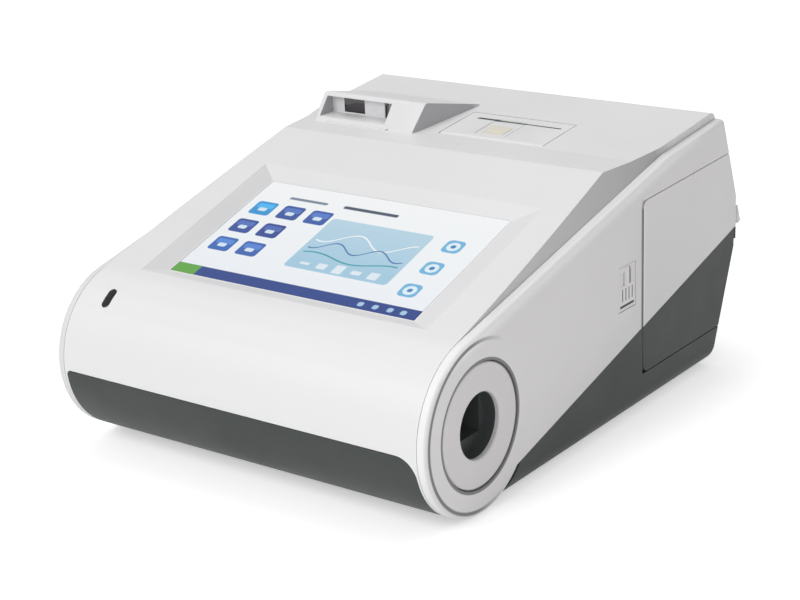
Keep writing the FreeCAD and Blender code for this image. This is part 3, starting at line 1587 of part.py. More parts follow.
bay_xs = (-size("bay_left"), -size("bay_right"))
bay_zs = (size("bay_floor_z"), hood_z(bay_end) - size("bay_roof"))
hood.cut_box(bay_xs, (hood_front[0] - over, bay_end), bay_zs)
slot_xs = (bay_xs[1] - size("bay_slot"), bay_xs[1])
hood.cut_box(slot_xs, (bay_end - gap, bay_end + size("bay_slot_depth")), bay_zs)
window_thick = size("window_thickness")
pocket_y = (bay_end - gap, bay_end + window_thick)
scan_window_xs = (-size("window_left"), -size("window_right"))
scan_window_zs = (size("window_foot_z"), size("window_head_z"))
aim_xs = (-size("aim_left"), -size("aim_right"))
aim_zs = (size("aim_z") - size("aim_size") / 2, size("aim_z") + size("aim_size") / 2)
engine_top = hood_z(scan_y[1]) - size("hood_wall")
engine_low = engine_top - size("scan_engine_height")
hood.cut_box(scan_x, scan_y, (hood_front[1] - over, engine_top))
for name, xs, zs in (("scanner_window", scan_window_xs, scan_window_zs), ("aim_lens", aim_xs, aim_zs)):
    hood.cut_box(xs, pocket_y, zs)
    hood.cut_box(grow(xs, -window_thick / 2), (bay_end, scan_y[0] + gap), grow(zs, -window_thick / 2))
    box_piece(name, grow(xs, -fit), (bay_end, bay_end + window_thick), grow(zs, -fit))
box_piece("scan_engine", grow(scan_x, -engine_gap), grow(scan_y, -engine_gap), (engine_low, engine_top))

# Port plate at the back, its sockets and its power switch
port_middle = (recess_z[0] + recess_z[1]) / 2
port_plate = Piece("port_plate")
port_plate.box(grow(recess_x, -gap), (plate_y, plate_top), grow(recess_z, -gap))
for x in grow(recess_x, -size("plate_screw_inset")):
    for z in grow(recess_z, -size("plate_screw_inset")):
        for piece in (port_plate, lower):
            piece.cut_disc(
                "XZ_Plane", plate_y - recess_wall - over, plate_top, x, z, screw_radius + screw_fit
            )
socket_front = plate_top + size("socket_proud")
socket_back = socket_front - size("socket_depth")
socket_wall = size("socket_wall")
throat_back = socket_front - size("socket_throat")


def centred(middle, width):
    return (middle - width / 2, middle + width / 2)


def socket(name, x, width, height):
    """A socket body that passes the plate and the wall behind it, and its openings."""
    xs = centred(x, width)
    zs = centred(port_middle, height)
    slack = size("socket_fit")
    piece = box_piece(name, xs, (socket_back, socket_front), zs)
    port_plate.cut_box(grow(xs, slack), (plate_y - over, plate_top + over), grow(zs, slack))
    lower.cut_box(grow(xs, slack), (plate_y - recess_wall - over, plate_y + gap), grow(zs, slack))
    return piece, xs, zs


inlet = socket("dc_inlet", size("inlet_x"), size("inlet_size"), size("inlet_size"))[0]
inlet.cut_disc(
    "XZ_Plane", throat_back, socket_front + over, size("inlet_x"), port_middle, size("inlet_radius")
)
inlet.add_disc(
    "XZ_Plane", throat_back, socket_front - socket_wall, size("inlet_x"), port_middle, size(
        "inlet_pin_radius"
    )
)
usb, usb_xs, usb_zs = socket("usb_ports", size("usb_x"), size("usb_width"), size("usb_height"))
usb_slot = size("usb_slot_height")
for slot_middle in (usb_zs[0] + socket_wall + usb_slot / 2, usb_zs[1] - socket_wall - usb_slot / 2):
    slot_zs = centred(slot_middle, usb_slot)
    usb.cut_box(grow(usb_xs, -socket_wall), (throat_back, socket_front + over), slot_zs)
    tongue_zs = (slot_zs[0] + socket_wall, slot_zs[0] + socket_wall * 2)
    usb.box(grow(usb_xs, -socket_wall * 2), (throat_back, socket_front - socket_wall), tongue_zs)
lan, lan_xs, lan_zs = socket("lan_port", size("lan_x"), size("lan_width"), size("lan_height"))
lan.cut_box(grow(lan_xs, -socket_wall), (throat_back, socket_front + over), grow(lan_zs, -socket_wall))
serial, serial_xs, serial_zs = socket(
    "serial_port", size("serial_x"), size("serial_width"), size("serial_height")
)
serial.cut_box(
    grow(serial_xs, -socket_wall), (throat_back, socket_front + over), grow(serial_zs, -socket_wall)
)
serial_tongue_y = (throat_back, socket_front - socket_wall)
serial.box(grow(serial_xs, -socket_wall * 2), serial_tongue_y, grow(serial_zs, -socket_wall * 3))

switch_x = size("switch_x")
switch_wall = size("switch_wall")
housing, housing_xs, housing_zs = socket(
    "switch_housing", switch_x, size("switch_width"), size("switch_height")
)
rocker_pin = size("rocker_pin_radius")
housing_room_y = (socket_back + switch_wall, socket_front + over)
housing.cut_box(grow(housing_xs, -switch_wall), housing_room_y, grow(housing_zs, -switch_wall))
rocker_depth = size("rocker_depth")
rocker_pivot_share = 0.8
rocker_foot_share = 0.7
pivot_y = socket_front - rocker_depth * rocker_pivot_share
pin_xs = grow(housing_xs, -switch_wall + rocker_pin)
housing.cut_disc("YZ_Plane", *pin_xs, pivot_y, port_middle, rocker_pin + fit)
rocker_xs = grow(housing_xs, -switch_wall - size("rocker_gap"))
rocker_half = size("switch_height") / 2 - switch_wall - size("rocker_room")
rock = Frame(pivot_y, port_middle, size("switch_rock_angle"))
rocker_face = rocker_depth / 2
face_rise = rocker_half * tangent(rock.angle)
rocker_points = [
    rock.at(rocker_face, dim(0)),
    rock.at(rocker_face + face_rise, rocker_half),
    rock.at(-rocker_face, rocker_half * rocker_foot_share),
    rock.at(-rocker_face, -rocker_half * rocker_foot_share),
    rock.at(rocker_face + face_rise, -rocker_half),
]
rocker = Piece("switch_rocker")
rocker.add("YZ_Plane", *rocker_xs, rocker_points)
rocker.add_disc("YZ_Plane", *grow(rocker_xs, rocker_pin), pivot_y, port_middle, rocker_pin)

# Pump on the chassis: body, rotor with three rollers, and motor behind it
pump_x = size("pump_x")
pump_half = size("pump_width") / 2
pump_z = size("pump_z")
pump_y = centred(size("pump_y"), size("pump_thickness"))
pump_top = pump_z + size("pump_head")
pump = box_piece("pump_body", (pump_x - pump_half, pump_x + pump_half), pump_y, (chassis_top, pump_top))
pump_floor = pump_y[0] + size("pump_cavity_depth")
pump.cut_disc("XZ_Plane", pump_y[0] - over, pump_floor, pump_x, pump_z, size("pump_cavity_radius"))
pump_shaft = size("pump_shaft_radius")
pump.cut_disc("XZ_Plane", pump_y[0], pump_y[1] + over, pump_x, pump_z, pump_shaft + fit)
rotor_y = (pump_floor - gap * 5 - size("pump_rotor_width"), pump_floor - gap * 5)
pump_rotor = disc_piece("pump_rotor", "XZ_Plane", *rotor_y, pump_x, pump_z, size("pump_hub_radius"))
roller_size = size("pump_roller_radius")
roller_reach = size("pump_cavity_radius") - size("pump_rotor_gap") - roller_size
for index in range(int(size("pump_roller_count").value)):
    turn = 2 * math.pi * index / size("pump_roller_count").value
    place = (pump_x + roller_reach * math.sin(turn), pump_z + roller_reach * math.cos(turn))
    pump_rotor.add_disc("XZ_Plane", *rotor_y, *place, roller_size)
motor_y = (pump_y[1], pump_y[1] + size("pump_motor_length"))
pump_rotor.add_disc(
    "XZ_Plane", rotor_y[1], motor_y[0] + size("pump_cavity_depth") / 2, pump_x, pump_z, pump_shaft
)
pump_motor = disc_piece("pump_motor", "XZ_Plane", *motor_y, pump_x, pump_z, size("pump_motor_radius"))
shaft_room_end = motor_y[0] + size("pump_cavity_depth") / 2 + gap
pump_motor.cut_disc("XZ_Plane", motor_y[0] - over, shaft_room_end, pump_x, pump_z, pump_shaft + fit)
nipple_xs = (pump_x - size("pump_nipple_x"), pump_x + size("pump_nipple_x"))
pump_middle = size("pump_y")
for x in nipple_xs:
    pump.add_disc("XY_Plane", pump_top, pump_top + nipple_out, x, pump_middle, nipple)
lane_x = size("tube_lane_x")
port_z = size("module_port_z")
for x in (nipple_xs[1], lane_x):
    module.add_disc("XZ_Plane", module_y[1], module_y[1] + nipple_out, x, port_z, nipple)


# Round sections swept along a path: the tubes and the latch spring
tube_radius = size("tube_radius")
bend = size("tube_bend")


def vector(*amounts):
    return FreeCAD.Vector(*[dim(one).value for one in amounts])


def path_of(corners, radius):
    """A path through corners with a tangent arc at each inner one."""
    places = [vector(*one) for one in corners]
    edges = []
    start = places[0]
    for before, corner, after in zip(places, places[1:], places[2:]):
        into = (before - corner).normalize()
        out = (after - corner).normalize()
        first = corner + into * radius
        last = corner + out * radius
        centre = corner + (into + out) * radius
        middle = centre - (into + out).normalize() * radius
        edges.append(Part.makeLine(start, first))
        edges.append(Part.Arc(first, middle, last).toShape())
        start = last
    edges.append(Part.makeLine(start, places[-1]))
    return Part.Wire(edges)


def sweep(path, radius):
    first = path.OrderedEdges[0]
    at = first.valueAt(first.FirstParameter)
    ring = Part.Wire(Part.makeCircle(radius, at, first.tangentAt(first.FirstParameter)))
    return path.makePipeShell([ring], True, True)


def feature(name, shape, place):
    """A swept sub-part, with its place set after its shape."""
    made = doc.addObject("Part::Feature", name)
    made.Label = name
    made.Shape = shape
    made.Placement = place
    return made


lane_z = size("tube_high_z")
pump_out_z = pump_top + nipple_out
coupler_out = coupler_x[0] - nipple_out
module_out = module_y[1] + nipple_out
turn_y = module_out + size("tube_reach")
tube_paths = [
    [
        (nipple_xs[0], pump_middle, pump_out_z),
        (nipple_xs[0], pump_middle, tube_z),
        (nipple_xs[0], spout_ys[0], tube_z),
        (coupler_out, spout_ys[0], tube_z),
    ],
    [
        (nipple_xs[1], pump_middle, pump_out_z),
        (nipple_xs[1], pump_middle, tube_z),
        (nipple_xs[1], turn_y, tube_z),
        (nipple_xs[1], turn_y, port_z),
        (nipple_xs[1], module_out, port_z),
    ],
    [
        (coupler_out, spout_ys[1], tube_z),
        (lane_x, spout_ys[1], tube_z),
        (lane_x, spout_ys[1], lane_z),
        (lane_x, turn_y, lane_z),
        (lane_x, turn_y, port_z),
        (lane_x, module_out, port_z),
    ],
]
tubes = Part.makeCompound([sweep(path_of(one, bend.value), tube_radius.value) for one in tube_paths])
wire_radius = size("spring_wire").value / 2
coil_length = size("spring_length").value - wire_radius * 2
coil_pitch = coil_length / size("spring_turn_count").value
coil_path = Part.makeHelix(coil_pitch, coil_length, size("spring_radius").value)
spring_start = vector(spring_x[0] + wire_radius, size("latch_y"), size("latch_z"))
swept = [
    feature("fluid_tubes", tubes, FreeCAD.Placement()),
    feature(
        "latch_spring",
        sweep(coil_path, wire_radius),
        FreeCAD.Placement(spring_start, FreeCAD.Rotation(FreeCAD.Vector(0, 1, 0), 90)),
    ),
]
doc.recompute()
bodies = [one for one in doc.Objects if one.TypeId == "PartDesign::Body"]
finished = bodies + swept
for one in doc.Objects:
    if "Invalid" in one.State or "Error" in one.State:
        raise ValueError(f"{one.Name} failed: {one.State}")
os.makedirs("parts", exist_ok=True)
for one in finished:
    if one.Shape.isNull() or not one.Shape.isValid():
        raise ValueError(f"{one.Label} has no valid shape")
    one.Shape.exportStep(f"parts/{one.Label}.step")
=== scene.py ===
import math

import bmesh
import bpy
from mathutils import Matrix, Vector


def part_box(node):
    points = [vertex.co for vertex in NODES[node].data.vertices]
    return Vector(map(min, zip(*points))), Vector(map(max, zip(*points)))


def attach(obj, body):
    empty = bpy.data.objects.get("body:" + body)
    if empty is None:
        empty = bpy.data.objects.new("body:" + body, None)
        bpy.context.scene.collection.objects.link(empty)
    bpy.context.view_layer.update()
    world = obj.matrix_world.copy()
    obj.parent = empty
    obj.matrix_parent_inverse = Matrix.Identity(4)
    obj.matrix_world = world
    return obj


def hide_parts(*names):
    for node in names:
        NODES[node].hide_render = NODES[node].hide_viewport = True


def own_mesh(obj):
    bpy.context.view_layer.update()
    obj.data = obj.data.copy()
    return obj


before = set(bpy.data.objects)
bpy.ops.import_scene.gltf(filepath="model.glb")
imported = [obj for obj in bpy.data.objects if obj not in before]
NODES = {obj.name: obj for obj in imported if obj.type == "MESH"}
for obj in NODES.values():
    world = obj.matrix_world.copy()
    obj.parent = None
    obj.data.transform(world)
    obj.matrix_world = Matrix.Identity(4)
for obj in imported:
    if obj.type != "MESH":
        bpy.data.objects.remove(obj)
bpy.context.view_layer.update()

MM = 0.001

# The roll along the front, in millimetres: its middle line in y and z, and its radius
ROLL_Y, ROLL_Z, ROLL_RADIUS = -112.0, 47.5, 45.5


# Shader helpers
def linear(value):
    """One 0-255 channel as the linear number that a shader socket takes."""
    share = value / 255
    return share / 12.92 if share <= 0.04045 else ((share + 0.055) / 1.055) ** 2.4


def rgb(red, green, blue):
    return (linear(red), linear(green), linear(blue), 1)


class Graph:
    """A material's node tree, with short calls for the nodes used here."""

    def __init__(self, name, rough=0.45, metallic=0.0):
        self.material = bpy.data.materials.new(name)
        self.material.use_nodes = True
        self.tree = self.material.node_tree
        self.shader = self.tree.nodes["Principled BSDF"]
        self.shader.inputs["Roughness"].default_value = rough
        self.shader.inputs["Metallic"].default_value = metallic
        self.coord = self.node("ShaderNodeTexCoord").outputs["Object"]

    def node(self, kind, inputs=None, **settings):
        made = self.tree.nodes.new(kind)
        for key, value in settings.items():
            setattr(made, key, value)
        for key, value in (inputs or {}).items():
            self.put(made.inputs[key], value)
        return made

    def put(self, socket, value):
        if isinstance(value, bpy.types.NodeSocket):
            self.tree.links.new(value, socket)
        else:
            socket.default_value = value

    def math(self, operation, *values):
        made = self.node("ShaderNodeMath", operation=operation)
        for socket, value in zip(made.inputs, values):
            self.put(socket, value)
        return made.outputs[0]

    def vector(self, operation, *values):
        made = self.node("ShaderNodeVectorMath", operation=operation)
        for socket, value in zip(made.inputs, values):
            self.put(socket, value)
        return made.outputs["Value"] if operation in ("LENGTH", "DOT_PRODUCT") else made.outputs[0]

    def xyz(self, place):
        """The three parts of a place."""
        return self.node("ShaderNodeSeparateXYZ", {"Vector": place}).outputs[:]

    def noise(self, scale, detail=3.0, rough=0.55, stretch=None):
        place = self.vector("MULTIPLY", self.coord, stretch) if stretch else self.coord
        values = {"Vector": place, "Scale": scale, "Detail": detail, "Roughness": rough}
        return self.node("ShaderNodeTexNoise", values).outputs[0]

    def ramp(self, value, low, high, to_low=0.0, to_high=1.0, smooth=False):
        """Turns low..high into to_low..to_high, and holds outside."""
        values = {"Value": value, "From Min": low, "From Max": high, "To Min": to_low, "To Max": to_high}
        kind = "SMOOTHSTEP" if smooth else "LINEAR"
        return self.node("ShaderNodeMapRange", values, interpolation_type=kind).outputs[0]

    def mix(self, share, first, second, blend="MIX"):
        made = self.node("ShaderNodeMix", data_type="RGBA", blend_type=blend)
        self.put(made.inputs[0], share)
        self.put(made.inputs[6], first)
        self.put(made.inputs[7], second)
        return made.outputs[2]

    def bump(self, height, distance, strength=1.0, normal=None):
        values = {"Height": height, "Distance": distance, "Strength": strength}
        if normal is not None:
            values["Normal"] = normal
        return self.node("ShaderNodeBump", values).outputs[0]

    def set(self, **sockets):
        for key, value in sockets.items():
            self.put(self.shader.inputs[key.replace("_", " ")], value)


def shade(colour, factor):
    """The colour, lighter or darker by the factor."""
    return tuple(min(1, channel * factor) for channel in colour[:3]) + (1,)


def drift_and_painted_light(graph, colour, edge=1.06, hollow_shade=0.90, drift=0.025):
    """The colour with a slow drift over the surface, a painted highlight on sharp edges and painted shade
    in hollows.
    """
    wide = graph.ramp(graph.noise(9, 4), 0.3, 0.7)
    base = graph.mix(wide, shade(colour, 1 - drift), shade(colour, 1 + drift))
    point = graph.node("ShaderNodeNewGeometry").outputs["Pointiness"]
    # Painted shade: darker in hollows, found by pointiness
    base = graph.mix(graph.ramp(point, 0.40, 0.49, 1, 0), base, shade(colour, hollow_shade))
    # Painted highlight: lighter on sharp edges
    return graph.mix(graph.ramp(point, 0.53, 0.62, 0, 0.8), base, shade(colour, edge))


SMUDGE = 0.06


def moulded(name, colour, rough, grain=1500, depth=0.00002, edge=1.06, hollow_shade=0.90, specular=0.5,
            marks=None):
    """Moulded plastic: a fine eroded grain, slow colour drift, smudges in the gloss, painted highlights on
    edges and painted shade in hollows.
    """
    graph = Graph(name, rough)
    fine = graph.noise(grain, 2, 0.6)
    soft = graph.noise(60, 3)
    gloss = graph.ramp(graph.noise(22, 5, 0.65), 0.3, 0.7, rough - SMUDGE, rough + SMUDGE)
    normal = graph.bump(soft, 0.00008, 0.35)
    normal = graph.bump(fine, depth, 0.8, normal)
    tone = drift_and_painted_light(graph, colour, edge, hollow_shade)
    if marks:
        tone = marks(graph, tone)
    graph.set(Base_Color=tone, Roughness=gloss, Normal=normal, IOR=1.47, Specular_IOR_Level=specular)
    return graph.material


def metal(name, colour, rough=0.3, stretch=(1, 1, 1), grain=900):
    graph = Graph(name, rough, 1.0)
    lines = graph.noise(grain, 4, 0.6, stretch=stretch)
    gloss = graph.ramp(lines, 0.3, 0.7, rough * 0.7, rough * 1.4)
    tone = graph.mix(graph.ramp(graph.noise(30, 4), 0.35, 0.65), shade(colour, 0.86), shade(colour, 1.08))
    graph.set(Base_Color=tone, Roughness=gloss, Normal=graph.bump(lines, 0.00001, 0.7))
    return graph.material


def rubber(name, colour):
    graph = Graph(name, 0.8)
    pores = graph.noise(2600, 3, 0.7)
    # Painted highlights on the rubber's edges and painted shade in its hollows
    graph.set(Base_Color=drift_and_painted_light(graph, colour, 1.5, 0.7, 0.08), Normal=graph.bump(pores, 0.00004, 0.9))
    graph.set(Roughness=graph.ramp(pores, 0.3, 0.7, 0.7, 0.9))
    return graph.material


def turned_rings(graph, centre, axis, pitch):
    """Rings about an axis through centre, as on a wound or turned end."""
    offset = graph.vector("SUBTRACT", graph.coord, centre)
    flat = graph.vector("MULTIPLY", offset, tuple(0 if share else 1 for share in axis))
    radius = graph.vector("LENGTH", flat)
    return graph.math("SINE", graph.math("MULTIPLY", radius, 2 * math.pi / pitch))


# What the walls' colour is multiplied by for their painted shade, and where the scanner hood ends in x, in
# metres
WALL_SHADE = (0.42, 0.42, 0.43, 1)
HOOD_RIGHT = -0.020


def painted_wall_shade(graph, tone):
    """Painted shade: the walls that face along X are darkened, so they look greyer than the tops."""
    normal = graph.node("ShaderNodeTexCoord").outputs["Normal"]
    across = graph.vector("DOT_PRODUCT", normal, (1, 0, 0))
    x, y, _ = graph.xyz(graph.coord)
    # Painted shade on steep walls, more so towards the rear
    steep_wall_shade = graph.ramp(y, -0.06, 0.06, 0.42, 0.72)
    share = graph.math("MULTIPLY", graph.ramp(graph.math("ABSOLUTE", across), 0.25, 0.8), steep_wall_shade)
    # Painted shade on the gentle slope right of the deck, which fades out towards the back wall
    share = graph.math("MAXIMUM", share, graph.ramp(across, 0.1, 0.24, 0, 0.34))
    share = graph.math("MULTIPLY", share, graph.ramp(y, 0.066, 0.084, 1, 0.25))
    # Painted shade on the right wall of the scanner hood
    left_of_hood_end = graph.ramp(x, HOOD_RIGHT - 0.001, HOOD_RIGHT + 0.001, 1, 0)
    hood = graph.math("MULTIPLY", graph.ramp(across, 0.6, 0.8), left_of_hood_end)
    share = graph.math("MAXIMUM", share, graph.math("MULTIPLY", hood, 0.85))
    return graph.mix(share, tone, graph.mix(1.0, tone, WALL_SHADE, "MULTIPLY"))


def band(graph, value, low, high, soft):
    """1 between low and high, with soft edges."""
    rise = graph.ramp(value, low - soft, low + soft)
    fall = graph.ramp(value, high - soft, high + soft, 1, 0)
    return graph.math("MULTIPLY", rise, fall)


# Where the side panel's marks lie, in metres. The third number of each band is its soft edge.
SIDE_FACE = 0.1172
DOOR_SEAM_Y = (0.0419, 0.0442, 0.0002)
DOOR_SEAM_Z = (0.026, 0.117, 0.003)
DOOR_GLINT_Y = (0.0444, 0.0456, 0.0002)
DOOR_GLINT_Z = (0.045, 0.117, 0.003)
PORT_RING = (0.0308, 0.0334, 0.0002)
ROLL_RIM = (0.0418, 0.0436, 0.0003)
RAIL_SLOPE = math.tan(math.radians(13))
RAIL_FOOT = 0.09183 + 0.12224 * RAIL_SLOPE


def seams_and_painted_highlights(graph, tone):
    """Dark seams round the bay door and the port's disc, a white edge on the panel's round end, a painted
    highlight beside the door's seam and a painted highlight along the rail edge.
    """
    x, y, z = graph.xyz(graph.coord)
    outer = graph.ramp(x, SIDE_FACE, SIDE_FACE + 0.0004)
    offset = graph.vector("SUBTRACT", graph.coord, (0, ROLL_Y * MM, ROLL_Z * MM))
    radius = graph.vector("LENGTH", graph.vector("MULTIPLY", offset, (0, 1, 1)))

    # White edge of the panel's round end
    inside = graph.ramp(x, SIDE_FACE, SIDE_FACE + 0.001, 1, 0)
    roll = graph.math("MULTIPLY", inside, graph.ramp(radius, 0.0425, 0.0435))
    roll = graph.math("MULTIPLY", roll, graph.ramp(y, -0.13, -0.09, 1, 0))
    roll = graph.math("MULTIPLY", roll, graph.ramp(x, 0.110, 0.112))
    tone = graph.mix(roll, tone, rgb(246, 246, 247))

    # Painted highlight on the door's edge beside its seam
    glint = graph.math("MULTIPLY", band(graph, y, *DOOR_GLINT_Y), band(graph, z, *DOOR_GLINT_Z))
    tone = graph.mix(graph.math("MULTIPLY", glint, 0.6), tone, rgb(252, 252, 252))

    # Painted highlight along the rail edge
    rail = graph.math("MULTIPLY_ADD", y, RAIL_SLOPE, RAIL_FOOT)
    below = graph.math("SUBTRACT", rail, z)
    bright = graph.math("MULTIPLY", graph.ramp(below, 0.003, 0.009, 1, 0, True), outer)
    tone = graph.mix(graph.math("MULTIPLY", bright, 0.75), tone, rgb(250, 249, 249))

    # Dark seams
    front = graph.math("MULTIPLY", band(graph, y, *DOOR_SEAM_Y), band(graph, z, *DOOR_SEAM_Z))
    rim = graph.math("MULTIPLY", band(graph, radius, *ROLL_RIM), graph.ramp(y, -0.118, -0.092, 1, 0))
    ring = graph.math("MAXIMUM", band(graph, radius, *PORT_RING), rim)
    seam = graph.math("MULTIPLY", graph.math("MAXIMUM", front, ring), outer)
    return graph.mix(graph.math("MULTIPLY", seam, 0.85), tone, rgb(84, 86, 88))


SHELL = rgb(233, 233, 234)
SIDE = rgb(228, 226, 227)
DARK = rgb(58, 62, 61)

# The shell's walls carry painted shade
shell = moulded("shell_plastic", SHELL, 0.42, marks=painted_wall_shade)
# The side panel carries dark seams and painted highlights
side = moulded("side_plastic", SIDE, 0.46, marks=seams_and_painted_highlights)
dark = moulded("base_plastic", DARK, 0.5, grain=1100, depth=0.00004, edge=1.25, hollow_shade=0.7, specular=0.32)
bezel = moulded("bezel_plastic", rgb(220, 217, 218), 0.44)
liner = moulded("liner_plastic", rgb(70, 74, 74), 0.4, edge=1.3)
black = moulded("black_plastic", rgb(24, 25, 27), 0.4, edge=1.6)
inner = moulded("inner_plastic", rgb(150, 153, 156), 0.55, grain=900, depth=0.00004)
ivory = moulded("ivory_plastic", rgb(232, 228, 214), 0.4)
# Dark plastic for seams and screw recesses, and for the painted shade in the hood slot and on the latch
# ribs
dark_seam_and_shade = moulded("seam_and_shade_plastic", rgb(62, 64, 66), 0.6, edge=1.2)
pack_body = moulded("pack_plastic", rgb(222, 224, 226), 0.5, grain=1000, depth=0.00005)
steel = metal("steel", rgb(176, 178, 182), 0.3, (1, 1, 12))
bright = metal("turned_steel", rgb(200, 202, 206), 0.22, (14, 1, 1))
sheet = metal("zinc_sheet", rgb(168, 171, 172), 0.42, (1, 10, 1))
aluminium = metal("aluminium", rgb(188, 190, 192), 0.38, (1, 8, 1))
rubber_black = rubber("rubber", rgb(44, 45, 47))
rubber_grey = rubber("roller_rubber", rgb(70, 72, 76))


def clear_plastic():
    graph = Graph("clear_tube", 0.12)
    film = graph.mix(graph.ramp(graph.noise(120, 3), 0.3, 0.7), rgb(228, 234, 236), rgb(210, 222, 226))
    graph.set(Base_Color=film, Roughness=graph.ramp(graph.noise(300, 3), 0.3, 0.7, 0.08, 0.2))
    graph.set(Transmission_Weight=0.75, IOR=1.42)
    return graph.material


def smoked_glass():
    graph = Graph("smoked_window", 0.06)
    haze = graph.ramp(graph.noise(140, 4), 0.3, 0.7, 0.04, 0.12)
    tone = graph.mix(graph.noise(60, 2), rgb(26, 24, 28), rgb(44, 36, 42))
    graph.set(Base_Color=tone, Roughness=haze, Coat_Weight=0.6, Coat_Roughness=0.05)
    return graph.material


def circuit_board():
    """Solder mask with square traces, vias and pads."""
    graph = Graph("board_mask", 0.4)
    grid = {"Vector": graph.coord, "Scale": 220.0, "Mortar Size": 0.045, "Mortar": (1, 1, 1, 1)}
    grid.update({"Color1": (0, 0, 0, 1), "Color2": (0.1, 0.1, 0.1, 1)})
    brick = graph.node("ShaderNodeTexBrick", grid).outputs[0]
    dots = graph.node("ShaderNodeTexVoronoi", {"Vector": graph.coord, "Scale": 260.0}).outputs["Distance"]
    via = graph.ramp(dots, 0.10, 0.14, 1, 0)
    tone = graph.mix(graph.ramp(graph.noise(40, 3), 0.3, 0.7), rgb(18, 84, 52), rgb(26, 100, 62))
    tone = graph.mix(graph.math("MULTIPLY", brick, 0.55), tone, rgb(40, 132, 84))
    tone = graph.mix(via, tone, rgb(206, 176, 108))
    graph.set(Base_Color=tone, Normal=graph.bump(brick, 0.00004, 0.6))
    graph.set(Roughness=graph.ramp(graph.noise(300, 2), 0.3, 0.7, 0.3, 0.5))
    return graph.material


def chips():
    graph = Graph("chip_epoxy", 0.55)
    speck = graph.noise(3000, 2)
    tone = graph.mix(graph.ramp(speck, 0.4, 0.6), rgb(32, 33, 35), rgb(48, 49, 52))
    graph.set(Base_Color=tone, Normal=graph.bump(speck, 0.00002, 0.6))
    graph.set(Roughness=graph.ramp(speck, 0.3, 0.7, 0.45, 0.65))
    return graph.material


def wound_paper():
    """Thermal paper: smooth on the outside, close rings on the ends."""
    low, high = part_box("paper_roll")
    graph = Graph("thermal_paper", 0.6)
    rings = turned_rings(graph, (low + high) / 2, (1, 0, 0), 0.0006)
    fibre = graph.noise(1800, 4, 0.7)
    tone = graph.mix(graph.ramp(rings, -1, 1, 0, 0.5), rgb(244, 244, 240), rgb(222, 222, 216))
    tone = graph.mix(graph.ramp(fibre, 0.35, 0.65, 0, 0.4), tone, rgb(234, 234, 228))
    graph.set(Base_Color=tone, Normal=graph.bump(fibre, 0.00002, 0.6))
    graph.set(Roughness=graph.ramp(fibre, 0.3, 0.7, 0.5, 0.7))
    return graph.material


# Screen
FACE_LEAN = math.radians(17.2)


